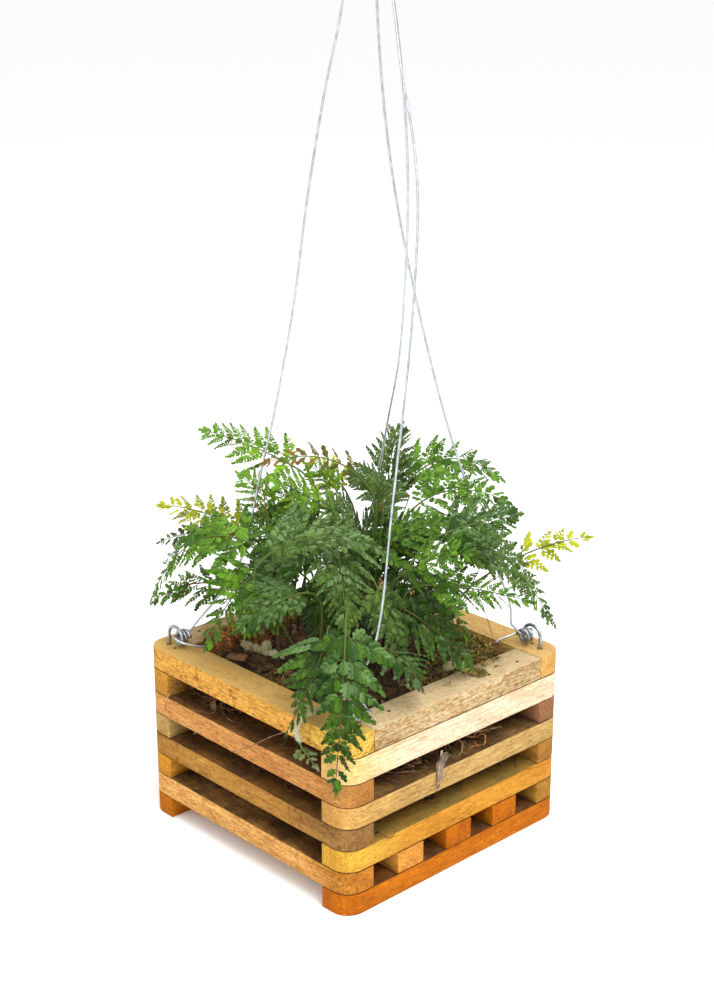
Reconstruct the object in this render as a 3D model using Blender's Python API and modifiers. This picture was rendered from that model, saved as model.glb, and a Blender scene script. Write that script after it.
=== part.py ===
"""A rabbit's-foot fern growing in a square crate of stacked wooden slats, with a wire hanger.

Units are metres, +Z is up. The origin is at the bottom centre of the crate, on the surface
that it stands on. The front of the crate faces -Y and its right side faces +X.
"""

import math

import bmesh
import bpy
from mathutils import Matrix, Vector

MM = 0.001
GAP = 0.3 * MM

# Crate of stacked slats
SIDE = 152 * MM
SLAT_WIDTH = 17.6 * MM
LAYER_HEIGHTS = [height * MM for height in (11.5, 11.8, 11.5, 11.4, 11.4, 11.8, 13.3, 11.7)]
CORNER_RADIUS = 10 * MM
FLOOR_SLATS = 3
RIM = sum(LAYER_HEIGHTS)
INSIDE = SIDE / 2 - SLAT_WIDTH
ROD_PLACE = (SIDE - SLAT_WIDTH) / 2

# Corner rods of thick wire, each ending in a coiled eye on the rim
ROD_RADIUS = 0.95 * MM
BORE_RADIUS = 1.45 * MM
ARCH_RADIUS = 5.7 * MM
EYE_HEIGHT = 5 * MM
EYE_RADIUS = 3.4 * MM
EYE_PITCH = 2.4 * MM
EYE_TURNS = 2
ARCH_STEPS = 7
COIL_STEPS = 9
CLINCH_LENGTH = 7 * MM
CLINCH_DEPTH = 2.6 * MM
CLINCH_BEND = 1.4 * MM
GROOVE_HALF = 1.6 * MM

# Hanger of four thin wires bound to one hook
WIRE_RADIUS = 0.6 * MM
APEX = Vector((6, 6, 0)) * MM
BUNDLE_TOP = 480 * MM
BUNDLE_BOTTOM = 464 * MM
BUNDLE_RADIUS = 1.9 * MM
BINDING_RADIUS = 4.0 * MM
BINDING_PITCH = 2.4 * MM
BINDING_TURNS = 3
BINDING_STEPS = 7
BINDING_TAIL = 7 * MM
BINDING_START = 478 * MM
HOOK_RADIUS = 11 * MM
HOOK_HEIGHT = 504 * MM
HOOK_ARC = (205, -30, 10)

# Potting mix
MIX_CELLS = 10
MIX_LEVEL = 86 * MM
MIX_RIPPLE = 0.6 * MM
STIPE_HOLE_RADIUS = 1.6 * MM
STIPE_DEPTH = 5.2 * MM
MIX_COLOUR = (0.07, 0.045, 0.025)

# Fronds: the rachis and stipe are a thin rib, and the blade is half as thick
RIB_HALF = 0.65 * MM
RIB_TAPER = 0.3
STEM_THICKNESS = 1.3 * MM
BLADE_SHARE = 0.5
BLADE_SAG = 0.2
FIRST_PINNA = 0.03
LAST_PINNA = 0.96
PINNA_STEP = 0.9
PINNA_GAP = 0.25 * MM
PINNA_NARROWING = 0.84
WIDEST_PINNA = 0.45
BASE_LEAN = 62
TIP_LEAN = 42
TIP_HALF = 1.8 * MM
TIP_LENGTH = 3 * MM
STIPE_START = 0.8 * MM
STIPE_RISE = 0.45
STIPE_REACH = 0.3

# A pinna's outline from its base to its tip and back: shares of its length and its lane.
PINNA_SHAPE = [(0.3, -1.0), (0.82, -0.7), (1.0, 0.3), (0.42, 1.0)]
SMALL_PINNA_SHAPE = [(0.45, -1.0), (1.0, 0.1), (0.5, 1.0)]
SMALL_PINNA = 13 * MM

# The crate stands with one corner near: across runs from its left corner to its right one,
# and toward runs to the near one.
UP = Vector((0, 0, 1))
ACROSS = Vector((1, 1, 0)).normalized()
TOWARD = Vector((1, -1, 0)).normalized()

STEEL_COLOUR = (0.62, 0.63, 0.64)

# Each wire from the bundle down to its eye, in millimetres: outward along its corner's
# diagonal, aside along the other diagonal, and height.
WIRE_ROUTES = {
    "front_left": [(1, -3, 452), (5, 0, 412), (14, 0, 369), (22, 0, 322), (29, 0, 271),
                   (38, 0, 223), (46, 0, 188), (53, 0, 156), (59, 0, 136), (68, 0, 122)],
    "front_right": [(4, 12, 452), (8, 18, 412), (12, 22, 382), (16, 28, 349), (22, 30, 315),
                    (32, 27, 259), (42, 22, 210), (52, 19, 182), (64, 15, 141), (73, 10, 121)],
    "back_right": [(11, 1, 452), (10.5, 0, 412), (14, 0, 365), (20, 0, 322), (29, 0, 278),
                   (40, 0, 233), (50, 0, 199), (62, 0, 164), (72, 0, 137), (79, 0, 119)],
    "back_left": [(4, 11, 452), (8, 18, 412), (12, 22, 380), (18, 25, 338), (25, 25, 293),
                  (35, 22, 240), (46, 16, 201), (58, 10, 162), (68, 5, 135), (76, 1, 118)],
}

# Quarter turns from the front right corner to each corner.
CORNER_TURNS = {"front_left": -1, "front_right": 0, "back_right": 1, "back_left": 2}

# The end of each wire, hooked through its eye: along the eye's arch, along its coil, and
# above the rim, in millimetres from the rod.
WIRE_END = [(10.7, 10.4, 12.6), (9.3, 8.0, 9.3), (8.3, 5.8, 6.9), (7.8, 3.2, 6.2),
            (7.5, 0.4, 6.3), (7.5, -1.9, 6.8), (8.4, -3.1, 6.9), (10.2, -3.2, 6.2),
            (12.8, -1.9, 4.9), (15.4, 1.2, 3.5), (17.6, 5.3, 2.1), (19.2, 9.0, 1.2),
            (20.3, 11.8, -0.6)]

# Mounds of moss and fibre on the mix: x, y, radius and height, in millimetres.
MOUNDS = [(38, 30, 20, 9), (-36, -44, 16, 7), (4, 0, 38, 6), (34, -34, 18, 4),
          (-30, 34, 22, 5), (44, 8, 12, 4)]

# Fronds, in millimetres across, toward and up: where the stipe stands, where the blade
# starts, its rachis half way and its tip. Then the blade's half width, its pairs of pinnae,
# its roll in degrees and its tint.
FRONDS = {
    "frond_over_corner": ((8, 56), (-1, 86, 144), (-2, 108, 115), (-5, 118, 74), 27, 8, 0, "dark"),
    "frond_over_left": ((-8, 52), (-10, 74, 134), (-16, 91, 118), (-30, 93, 88), 20, 7, -10, "dark"),
    "frond_front_high": ((-1, 20), (-7, 34, 173), (-5, 52, 160), (-1, 68, 133), 29, 8, 0, "grey"),
    "frond_front_mid": ((15, 40), (11, 48, 149), (19, 55, 132), (26, 61, 110), 19, 7, 0, "grey"),
    "frond_front_left": ((-17, 45), (-21, 59, 147), (-34, 67, 145), (-52, 74, 134), 22, 7, -25, "dark"),
    "frond_left_droop": ((-37, 23), (-44, 25, 143), (-56, 36, 138), (-72, 38, 109), 26, 7, -35, "leaf"),
    "frond_front_fan": ((-25, 35), (-41, 57, 163), (-19, 61, 175), (7, 60, 172), 24, 8, 40, "grey"),
    "frond_left_arc": ((-34, 15), (-45, 17, 153), (-78, 12, 155), (-103, 7, 120), 23, 9, -30, "leaf"),
    "frond_left_low": ((-50, -4), (-64, -10, 121), (-84, -13, 122), (-105, -14, 111), 20, 6, -25, "leaf"),
    "frond_left_tip": ((-42, -9), (-54, -18, 147), (-78, -24, 157), (-102, -27, 160), 20, 7, -30, "yellow"),
    "frond_left_pale": ((-44, -13), (-62, -28, 139), (-81, -30, 144), (-104, -33, 137), 16, 6, -30, "grey"),
    "frond_top_left": ((-31, -29), (-29, -35, 177), (-54, -38, 189), (-79, -42, 196), 26, 8, -25, "bright"),
    "frond_bronze": ((0, -5), (3, 2, 186), (-18, 5, 197), (-45, 7, 194), 17, 7, -40, "bronze"),
    "frond_left_high": ((-34, -15), (-35, -11, 157), (-46, -13, 170), (-58, -14, 181), 22, 6, -40, "bright"),
    "frond_centre": ((-14, 2), (-7, 8, 165), (-22, 13, 179), (-37, 17, 188), 26, 6, -45, "bright"),
    "frond_centre_low": ((-16, 8), (-12, 10, 147), (-31, 9, 151), (-51, 6, 142), 24, 7, -45, "dark"),
    "frond_upright": ((7, -34), (16, -67, 147), (17, -71, 169), (22, -77, 188), 27, 7, 0, "grey"),
    "frond_mid_top": ((9, -20), (20, -32, 154), (11, -27, 169), (-3, -23, 180), 24, 6, -45, "grey"),
    "frond_right_top": ((24, -19), (25, -25, 173), (48, -29, 186), (75, -34, 174), 26, 8, 25, "leaf"),
    "frond_right_high": ((24, -3), (29, 7, 171), (50, 6, 181), (76, 6, 175), 24, 7, 35, "leaf"),
    "frond_centre_right": ((16, 10), (10, 20, 149), (26, 21, 163), (42, 23, 169), 24, 6, 40, "leaf"),
    "frond_right_broad": ((50, 8), (42, 39, 169), (59, 38, 175), (78, 38, 180), 25, 7, 35, "dark"),
    "frond_right_droop": ((34, 3), (39, 21, 156), (68, 24, 157), (100, 25, 117), 26, 9, 28, "grey"),
    "frond_right_pale": ((25, 25), (24, 47, 152), (39, 55, 163), (55, 56, 166), 20, 6, 40, "leaf"),
    "frond_right_arm": ((25, 33), (35, 45, 146), (57, 46, 145), (86, 45, 138), 21, 8, 25, "leaf"),
    "frond_right_front": ((25, 33), (22, 37, 132), (39, 41, 122), (58, 44, 104), 26, 8, 25, "dark"),
    "frond_right_low": ((23, 45), (18, 65, 121), (27, 73, 117), (35, 75, 105), 18, 6, 0, "dark"),
    "frond_lime": ((47, -11), (79, -6, 139), (99, -7, 148), (119, -8, 152), 16, 6, 30, "lime"),
    "frond_back_left": ((-27, -33), (-37, -45, 144), (-54, -56, 146), (-67, -62, 122), 26, 7, 0, "leaf"),
    "frond_back_right": ((25, -35), (33, -47, 138), (48, -61, 142), (60, -68, 118), 25, 7, 0, "leaf"),
    "frond_back_low": ((-17, -39), (-20, -55, 126), (-24, -77, 128), (-29, -96, 102), 25, 7, 0, "dark"),
    "frond_back_mid": ((21, -45), (22, -59, 118), (28, -81, 120), (31, -99, 96), 18, 7, 0, "dark"),
}

# Fronds that grow from the foot of another one, as one body with it.
SHARED_FEET = {
    "frond_left_pale": "frond_left_tip",
    "frond_centre_right": "frond_right_high",
    "frond_mid_top": "frond_upright",
    "frond_right_arm": "frond_right_front",
    "frond_back_low": "frond_back_left",
    "frond_back_mid": "frond_back_right",
}

# Rhizomes, in millimetres: the radius, then places across, toward and up.
RHIZOMES = {
    "rhizome_left": (2.3, [(-34, 9, 92), (-43, 6, 92), (-51, 6, 95), (-57, 6, 97.5)]),
    "rhizome_front": (1.5, [(0, 57, 90), (-5, 63, 93), (-9, 70, 96), (-14, 82, 97.5),
                            (-21, 88, 97), (-24, 88.5, 90), (-22.5, 89, 84.5)]),
}
RHIZOME_COLOUR = (0.55, 0.50, 0.38)
BED_GAP = 0.4 * MM
BLUNT_TIP = (0.9, 0.5)

# The young frond that hangs from the tip of the front rhizome.
YOUNG_FROND_RHIZOME = "rhizome_front"
YOUNG_FROND = ((-22, 89.5, 82.5), (-19, 92, 79), (-14, 98, 75.5), 6, 4, 0)

LEAF_COLOURS = {
    "dark": (0.035, 0.115, 0.045),
    "grey": (0.060, 0.150, 0.075),
    "leaf": (0.055, 0.180, 0.035),
    "bright": (0.100, 0.270, 0.040),
    "yellow": (0.300, 0.360, 0.040),
    "lime": (0.420, 0.560, 0.050),
    "bronze": (0.260, 0.170, 0.045),
}

WOOD_COLOURS = {
    "honey": (0.62, 0.36, 0.10),
    "tan": (0.60, 0.38, 0.17),
    "cream": (0.80, 0.60, 0.36),
    "pink": (0.52, 0.28, 0.15),
    "olive": (0.50, 0.34, 0.14),
    "orange": (0.68, 0.32, 0.08),
    "yellow": (0.74, 0.50, 0.12),
}

# The wood of each layer, bottom to top: its front and back, or its left and right, slats.
LAYER_WOODS = ["orange", "orange", "yellow", "tan", "olive", "pink", "cream", "honey"]


def clear_scene():
    for obj in list(bpy.data.objects):
        bpy.data.objects.remove(obj)


def new_collection(name):
    collection = bpy.data.collections.new(name)
    bpy.context.scene.collection.children.link(collection)
    return collection


def material(name, colour, roughness, metallic=0.0):
    made = bpy.data.materials.new(name)
    made.use_nodes = True
    shader = made.node_tree.nodes["Principled BSDF"]
    shader.inputs["Base Color"].default_value = (*colour, 1)
    shader.inputs["Roughness"].default_value = roughness
    shader.inputs["Metallic"].default_value = metallic
    made.diffuse_color = (*colour, 1)
    return made


def add_object(name, data, collection, finish=None):
    obj = bpy.data.objects.new(name, data)
    collection.objects.link(obj)
    if finish:
        data.materials.append(finish)
    return obj


def mesh_object(name, bm, collection, finish=None):
    mesh = bpy.data.meshes.new(name)
    bm.to_mesh(mesh)
    bm.free()
    return add_object(name, mesh, collection, finish)


def as_cutter(obj):
    obj.hide_render = True
    obj.display_type = "WIRE"
    return obj


def cut(obj, cutter, solver="EXACT"):
    modifier = obj.modifiers.new(cutter.name, "BOOLEAN")
    modifier.operation = "DIFFERENCE"
    modifier.solver = solver
    modifier.object = cutter


def join(obj, other):
    """Fuses another solid into this one, as one grown body."""
    modifier = obj.modifiers.new(other.name, "BOOLEAN")
    modifier.operation = "UNION"
    modifier.object = other
    graph = bpy.context.evaluated_depsgraph_get()
    joined = bpy.data.meshes.new_from_object(obj.evaluated_get(graph))
    obj.modifiers.clear()
    obj.data = joined
    bpy.data.objects.remove(other)


def diagonal_place(across, toward, height=0.0):
    """A place from the crate's centre, given in millimetres along its two diagonals."""
    return (ACROSS * across + TOWARD * toward + UP * height) * MM


def smooth_route(points, steps):
    """A Catmull-Rom curve through the points, with this many steps between each pair."""
    ends = [points[0] * 2 - points[1], *points, points[-1] * 2 - points[-2]]
    route = []
    for before, start, end, after in zip(ends, ends[1:], ends[2:], ends[3:]):
        for step in range(steps):
            t = step / steps
            square = 2 * before - 5 * start + 4 * end - after
            cube = 3 * start - before - 3 * end + after
            route.append((2 * start + (end - before) * t + square * t**2 + cube * t**3) / 2)
    return [*route, points[-1]]


def arc(centre, radius, first, last, steps, along):
    """Points on an upright arc, from one angle in degrees to another."""
    angles = [math.radians(first + (last - first) * i / steps) for i in range(steps + 1)]
    return [centre + (along * math.cos(a) + UP * math.sin(a)) * radius for a in angles]


def wire_object(name, points, radius, collection, finish):
    curve = bpy.data.curves.new(name, "CURVE")
    curve.dimensions = "3D"
    spline = curve.splines.new("POLY")
    spline.points.add(len(points) - 1)
    for point, place in zip(spline.points, points):
        point.co = (*place, 1)
    curve.bevel_depth = radius
    curve.bevel_resolution = 2
    curve.use_fill_caps = True
    spline.use_smooth = True
    return add_object(name, curve, collection, finish)


# Crate


def slat_block(length, height):
    """A slat along X with square ends."""
    bm = bmesh.new()
    bmesh.ops.create_cube(bm, size=1)
    bmesh.ops.scale(bm, vec=(length, SLAT_WIDTH, height), verts=bm.verts)
    return bm


def rounded_slat(height):
    """A side slat, whose outer side at -Y has its end corners rounded."""
    bm = slat_block(SIDE, height)
    corners = [
        edge
        for edge in bm.edges
        if all(v.co.y < 0 for v in edge.verts)
        and abs(edge.verts[0].co.x - edge.verts[1].co.x) < MM
        and abs(edge.verts[0].co.z - edge.verts[1].co.z) > MM
    ]
    bmesh.ops.bevel(
        bm, geom=corners, offset=CORNER_RADIUS, segments=3, profile=0.5, affect="EDGES"
    )
    return bm


def place_slat(name, bm, turn, outward, height, collection, wood):
    """Puts a slat at a side of the crate: turn 0 is the front, 90 the right side."""
    finish = material(name, WOOD_COLOURS[wood], 0.75)
    obj = mesh_object(name, bm, collection, finish)
    angle = math.radians(turn)
    obj.rotation_euler.z = angle
    obj.location = (outward * math.sin(angle), -outward * math.cos(angle), height)
    return obj


def layer_floor(layer):
    return sum(LAYER_HEIGHTS[:layer])


def build_crate(collection, bores, grooves):
    for layer, height in enumerate(LAYER_HEIGHTS):
        sides = (("right", 90), ("left", 270)) if layer % 2 == 0 else (("front", 0), ("back", 180))
        middle = layer_floor(layer) + (height - GAP) / 2
        for side, turn in sides:
            name = f"slat_{layer + 1}_{side}"
            slat = rounded_slat(height - GAP)
            obj = place_slat(name, slat, turn, ROD_PLACE, middle, collection, LAYER_WOODS[layer])
            cut(obj, bores)
            if layer == 0:
                cut(obj, grooves)
    build_floor(collection)
    build_fillers(collection)


def build_floor(collection):
    """Slats between the front and back slats of the second layer, which carry the mix."""
    height = LAYER_HEIGHTS[1] - GAP
    spacing = 2 * ROD_PLACE / (FLOOR_SLATS + 1)
    for number in range(FLOOR_SLATS):
        name = f"floor_slat_{number + 1}"
        slat = slat_block(SIDE, height)
        outward = ROD_PLACE - spacing * (number + 1)
        place_slat(name, slat, 0, outward, layer_floor(1) + height / 2, collection, "orange")


def build_fillers(collection):
    """Short slats that bring the left and right sides up to the rim."""
    height = LAYER_HEIGHTS[-1] - GAP
    length = 2 * (INSIDE - GAP)
    for side, turn in (("right", 90), ("left", 270)):
        name = f"filler_{side}"
        middle = layer_floor(len(LAYER_HEIGHTS) - 1) + height / 2
        slat = slat_block(length, height)
        place_slat(name, slat, turn, ROD_PLACE, middle, collection, "tan")


def rod_bores(cutters):
    bm = bmesh.new()
    for x in (-ROD_PLACE, ROD_PLACE):
        for y in (-ROD_PLACE, ROD_PLACE):
            bmesh.ops.create_cone(
                bm, cap_ends=True, segments=6, radius1=BORE_RADIUS, radius2=BORE_RADIUS,
                depth=2 * RIM, matrix=Matrix.Translation((x, y, RIM / 2)),
            )
    return as_cutter(mesh_object("rod_bores", bm, cutters))


def clinch_grooves(cutters):
    """Grooves under the bottom slats, for the bent ends of the rods."""
    bm = bmesh.new()
    length = CLINCH_LENGTH + 2 * GROOVE_HALF
    for turn in range(4):
        middle = Vector((ROD_PLACE, -ROD_PLACE, 0)) + clinch_direction(turn) * CLINCH_LENGTH / 2
        place = Matrix.Rotation(math.radians(90 * turn), 4, "Z") @ Matrix.Translation(middle)
        sizes = [2 * GROOVE_HALF, 2 * GROOVE_HALF]
        sizes[0 if turn % 2 else 1] = length
        size = Matrix.Diagonal((*sizes, 2 * CLINCH_DEPTH, 1))
        bmesh.ops.create_cube(bm, size=1, matrix=place @ size)
    return as_cutter(mesh_object("clinch_grooves", bm, cutters))


def clinch_direction(turn):
    """Which way a rod's lower end is bent, along its bottom slat, before the turn."""
    return Vector((-1, 0, 0)) if turn % 2 else Vector((0, 1, 0))


# Hanger


def corner_place(turn, along, coil, height):
    """A place by the rod of the front right corner, turned to the other corners: the eye's
    arch runs along +Y there and its coil along -X."""
    place = Vector((ROD_PLACE - coil, -ROD_PLACE + along, RIM + height))
    return Matrix.Rotation(math.radians(90 * turn), 3, "Z") @ place


def rod_points(turn):
    """A rod from its bent lower end, up its bore and over the arch into its coiled eye."""
    foot = Vector((ROD_PLACE, -ROD_PLACE, CLINCH_DEPTH / 2))
    bend = clinch_direction(turn)
    start = [foot + bend * CLINCH_LENGTH, foot + bend * CLINCH_BEND, foot + UP * CLINCH_BEND]
    turned = [Matrix.Rotation(math.radians(90 * turn), 3, "Z") @ point for point in start]
    eye = []
    for step in range(ARCH_STEPS):
        angle = math.pi * (1 - step / ARCH_STEPS)
        eye.append((
            ARCH_RADIUS * (1 + math.cos(angle)), 0, EYE_HEIGHT + ARCH_RADIUS * math.sin(angle)
        ))
    for step in range(EYE_TURNS * COIL_STEPS + 1):
        angle = -2 * math.pi * step / COIL_STEPS
        eye.append((
            2 * ARCH_RADIUS - EYE_RADIUS * (1 - math.cos(angle)),
            EYE_PITCH * step / COIL_STEPS,
            EYE_HEIGHT + EYE_RADIUS * math.sin(angle),
        ))
    return turned + [corner_place(turn, *place) for place in eye]


def wire_points(corner, turn):
    outward = Matrix.Rotation(math.radians(90 * turn - 45), 3, "Z") @ Vector((1, 0, 0))
    aside = TOWARD if corner in ("front_left", "back_right") else ACROSS
    bundle = APEX + outward * BUNDLE_RADIUS
    top = [bundle + UP * BUNDLE_TOP, bundle + UP * BUNDLE_BOTTOM]
    route = [
        (outward * out + aside * side + UP * height) * MM
        for out, side, height in WIRE_ROUTES[corner]
    ]
    end = [corner_place(turn, *(Vector(place) * MM)) for place in WIRE_END]
    return [top[0], *smooth_route([top[1], *route, end[0]], 2), *end[1:]]


def hook_points():
    """The hook's tail is wound round the wires, and its shank stands in the bundle."""
    points = []
    for step in range(BINDING_TURNS * BINDING_STEPS + 1):
        angle = 2 * math.pi * step / BINDING_STEPS
        around = Vector((math.sin(angle), -math.cos(angle), 0)) * BINDING_RADIUS
        points.append(around + UP * (BINDING_START - BINDING_PITCH * step / BINDING_STEPS))
    half = BINDING_RADIUS / 2
    turn = Vector((0, -half, BUNDLE_BOTTOM - BINDING_TAIL))
    points += arc(turn, half, 0, -180, 4, Vector((0, -1, 0)))
    points.append(UP * BUNDLE_TOP)
    points += arc(UP * HOOK_HEIGHT, HOOK_RADIUS, *HOOK_ARC, Vector((1, 0, 0)))
    return [point + APEX for point in points]


def build_hanger(collection):
    for corner, turn in CORNER_TURNS.items():
        name = f"corner_rod_{corner}"
        finish = material(name, STEEL_COLOUR, 0.35, 1)
        wire_object(name, rod_points(turn), ROD_RADIUS, collection, finish)
        name = f"hanger_wire_{corner}"
        finish = material(name, STEEL_COLOUR, 0.35, 1)
        wire_object(name, wire_points(corner, turn), WIRE_RADIUS, collection, finish)
    finish = material("hanger_hook", STEEL_COLOUR, 0.35, 1)
    wire_object("hanger_hook", hook_points(), ROD_RADIUS, collection, finish)


# Potting mix


def mix_height(x, y):
    """The top of the mix: level, with mounds, ripples and a hollow along the walls."""
    height = MIX_LEVEL
    for mound_x, mound_y, radius, rise in MOUNDS:
        away = ((x / MM - mound_x) ** 2 + (y / MM - mound_y) ** 2) / radius**2
        height += rise * MM * math.exp(-away)
    ripple = math.sin(x / (7 * MM)) * math.cos(y / (6 * MM)) + math.sin((x + 2 * y) / (5 * MM))
    return height + MIX_RIPPLE * ripple


def build_mix(collection, cutters, beds):
    half = INSIDE - GAP
    bm = bmesh.new()
    bmesh.ops.create_grid(bm, x_segments=MIX_CELLS, y_segments=MIX_CELLS, size=half)
    for vert in bm.verts:
        vert.co.z = mix_height(vert.co.x, vert.co.y)
    made = bmesh.ops.extrude_face_region(bm, geom=bm.faces[:], use_keep_orig=True)
    lower = [item for item in made["geom"] if isinstance(item, bmesh.types.BMVert)]
    for vert in lower:
        vert.co.z = layer_floor(2)
    bottom = [face for face in bm.faces if all(v in lower for v in face.verts)]
    bmesh.ops.dissolve_faces(bm, faces=bottom)
    bmesh.ops.recalc_face_normals(bm, faces=bm.faces)
    bmesh.ops.triangulate(bm, faces=[face for face in bm.faces if len(face.verts) == 4])
    finish = material("potting_mix", MIX_COLOUR, 0.95)
    mix = mesh_object("potting_mix", bm, collection, finish)
    for cutter in [stipe_holes(cutters), *beds]:
        cut(mix, cutter, "MANIFOLD")


def on_mix(place):
    return Vector((place.x, place.y, mix_height(place.x, place.y)))


def stipe_holes(cutters):
    bm = bmesh.new()
    depth = 2 * (STIPE_DEPTH + 2 * GAP)
    for name, row in FRONDS.items():
        if name in SHARED_FEET:
            continue
        foot = on_mix(diagonal_place(*row[0]))
        bmesh.ops.create_cone(
            bm, cap_ends=True, segments=6, radius1=STIPE_HOLE_RADIUS, radius2=STIPE_HOLE_RADIUS,
            depth=depth, matrix=Matrix.Translation(foot),
        )
    return as_cutter(mesh_object("stipe_holes", bm, cutters))


# Rhizomes


def rhizome_tube(name, radius, route, reach, collection, finish=None):
    """A creeping rhizome, thick along its length and blunt at its furry tip."""
    points = smooth_route(route, 2)
    points[-1] += (points[-1] - points[-2]).normalized() * reach
    curve = wire_object(name + "_curve", points, radius, collection, None)
    for point, share in zip(curve.data.splines[0].points[-2:], BLUNT_TIP):
        point.radius = share
    graph = bpy.context.evaluated_depsgraph_get()
    mesh = bpy.data.meshes.new_from_object(curve.evaluated_get(graph))
    bm = bmesh.new()
    bm.from_mesh(mesh)
    bmesh.ops.remove_doubles(bm, verts=bm.verts, dist=0.01 * MM)
    bmesh.ops.recalc_face_normals(bm, faces=bm.faces)
    bpy.data.objects.remove(curve)
    return mesh_object(name, bm, collection, finish)


def build_rhizomes(collection, cutters):
    """The rhizomes, and their beds in the mix as cutters."""
    beds = []
    for name, (radius, places) in RHIZOMES.items():
        route = [diagonal_place(*place) for place in places]
        finish = material(name, RHIZOME_COLOUR, 0.9)
        rhizome = rhizome_tube(name, radius * MM, route, 0.0, collection, finish)
        if name == YOUNG_FROND_RHIZOME:
            join(rhizome, young_frond(route, cutters))
        bed = rhizome_tube(name + "_bed", radius * MM + BED_GAP, route, BED_GAP, cutters)
        beds.append(as_cutter(bed))
    return beds


# Fronds


def bezier(points, t):
    while len(points) > 1:
        points = [a.lerp(b, t) for a, b in zip(points, points[1:])]
    return points[0]


class Rachis:
    """The curve of a frond's midrib, with a frame across and above it."""

    def __init__(self, knee, mid, tip, roll):
        self.points = [knee, mid * 2 - (knee + tip) / 2, tip]
        self.roll = math.radians(roll)
        steps = [bezier(self.points, i / 20) for i in range(21)]
        self.length = sum((b - a).length for a, b in zip(steps, steps[1:]))

    def along(self, t):
        first, middle, last = self.points
        return ((middle - first) * (1 - t) + (last - middle) * t).normalized()

    def frame(self, t):
        along = self.along(min(t, 1))
        across = Matrix.Rotation(self.roll, 3, along) @ along.cross(UP).normalized()
        return along, across, across.cross(along)

    def place(self, t, side, sag):
        """A point of the blade: t along the rachis, side across it, and sagging."""
        along, across, above = self.frame(t)
        base = bezier(self.points, min(t, 1)) + along * max(t - 1, 0) * self.length
        return base + across * side - above * sag


def stations(pairs):
    """Shares of the rachis where its pinnae meet, closer together towards the tip."""
    steps = [PINNA_STEP**i for i in range(pairs)]
    places = [FIRST_PINNA]
    for step in steps:
        places.append(places[-1] + (LAST_PINNA - FIRST_PINNA) * step / sum(steps))
    return places


def pinna_outline(start, end, length, rachis_length, lean):
    """The outline of one pinna that fills its lane: (share of the rachis, sideways)."""
    middle = (start + end) / 2
    room = (end - start) * rachis_length * math.sin(lean) / 2 - PINNA_GAP
    lane = min(room, WIDEST_PINNA * length)
    for out, side in SMALL_PINNA_SHAPE if length < SMALL_PINNA else PINNA_SHAPE:
        forward = out * length * math.cos(lean) + side * lane * math.sin(lean)
        sideways = out * length * math.sin(lean) - side * lane * math.cos(lean)
        yield middle + forward / rachis_length, RIB_HALF + sideways


def stem_places(foot, knee, heading):
    """A stipe's centre line: upright in its hole, then arching over to the blade."""
    reach = (knee - foot).length
    start = foot + UP * STIPE_START
    pulls = [start, start + UP * STIPE_RISE * reach, knee - heading * STIPE_REACH * reach, knee]
    return [foot - UP * STIPE_DEPTH, start, *(bezier(pulls, t) for t in (0.35, 0.7))]


def add_strip(bm, stem, rachis, places):
    """The stem and rachis as a narrow strip: pairs of vertices, from the foot to the tip."""
    _, across, _ = rachis.frame(0)
    pairs = [[bm.verts.new(p + across * side) for side in (RIB_HALF, -RIB_HALF)] for p in stem]
    for t in [0.0, *places]:
        rib = RIB_HALF * (1 - RIB_TAPER * t)
        pairs.append([bm.verts.new(rachis.place(t, side, 0)) for side in (rib, -rib)])
    for low, high in zip(pairs, pairs[1:]):
        bm.faces.new((low[0], low[1], high[1], high[0]))
    return pairs


def frond_surface(rachis, stem, half_width, count):
    """The open surface of a frond: stem strip, pinnae cut to the rib and a leafy tip."""
    bm = bmesh.new()
    places = stations(count)
    pairs = add_strip(bm, stem, rachis, places)[-len(places):]
    ribs = set(bm.verts)
    for start, end, low, high in zip(places, places[1:], pairs, pairs[1:]):
        length = half_width * (1 - PINNA_NARROWING * (start + end) / 2)
        lean = math.radians(BASE_LEAN + (TIP_LEAN - BASE_LEAN) * start)
        outline = list(pinna_outline(start, end, length, rachis.length, lean))
        for side, sign in ((0, 1), (1, -1)):
            edge = [
                bm.verts.new(rachis.place(t, sign * out, BLADE_SAG * out**2 / half_width))
                for t, out in outline
            ]
            ring = [low[side], *edge, high[side]]
            bm.faces.new(ring if sign < 0 else ring[::-1])
    last = pairs[-1]
    leafy = [(1.0, TIP_HALF), (1.0 + TIP_LENGTH / rachis.length, 0), (1.0, -TIP_HALF)]
    tip = [bm.verts.new(rachis.place(t, out, 0)) for t, out in leafy]
    bm.faces.new([last[1], last[0], *tip])
    bmesh.ops.recalc_face_normals(bm, faces=bm.faces)
    bmesh.ops.triangulate(bm, faces=bm.faces)
    bm.verts.index_update()
    return bm, {vert.index for vert in ribs}


def frond_object(name, rachis, stem, half_width, count, collection, finish=None):
    bm, ribs = frond_surface(rachis, stem, half_width * MM, count)
    obj = mesh_object(name, bm, collection, finish)
    thickness = obj.vertex_groups.new(name="thickness")
    blade = [vert.index for vert in obj.data.vertices if vert.index not in ribs]
    thickness.add(sorted(ribs), 1.0, "REPLACE")
    thickness.add(blade, BLADE_SHARE, "REPLACE")
    solid = obj.modifiers.new("thickness", "SOLIDIFY")
    solid.thickness = STEM_THICKNESS
    solid.offset = 0
    solid.vertex_group = "thickness"
    return obj


def young_frond(route, cutters):
    """The small frond whose stipe starts inside the tip of its rhizome."""
    knee, mid, tip, half_width, count, roll = YOUNG_FROND
    knee, mid, tip = (diagonal_place(*place) for place in (knee, mid, tip))
    rachis = Rachis(knee, mid, tip, roll)
    stem = [route[-1].lerp(route[-2], 0.3), route[-1].lerp(knee, 0.5)]
    return frond_object("young_frond", rachis, stem, half_width, count, cutters)


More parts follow.
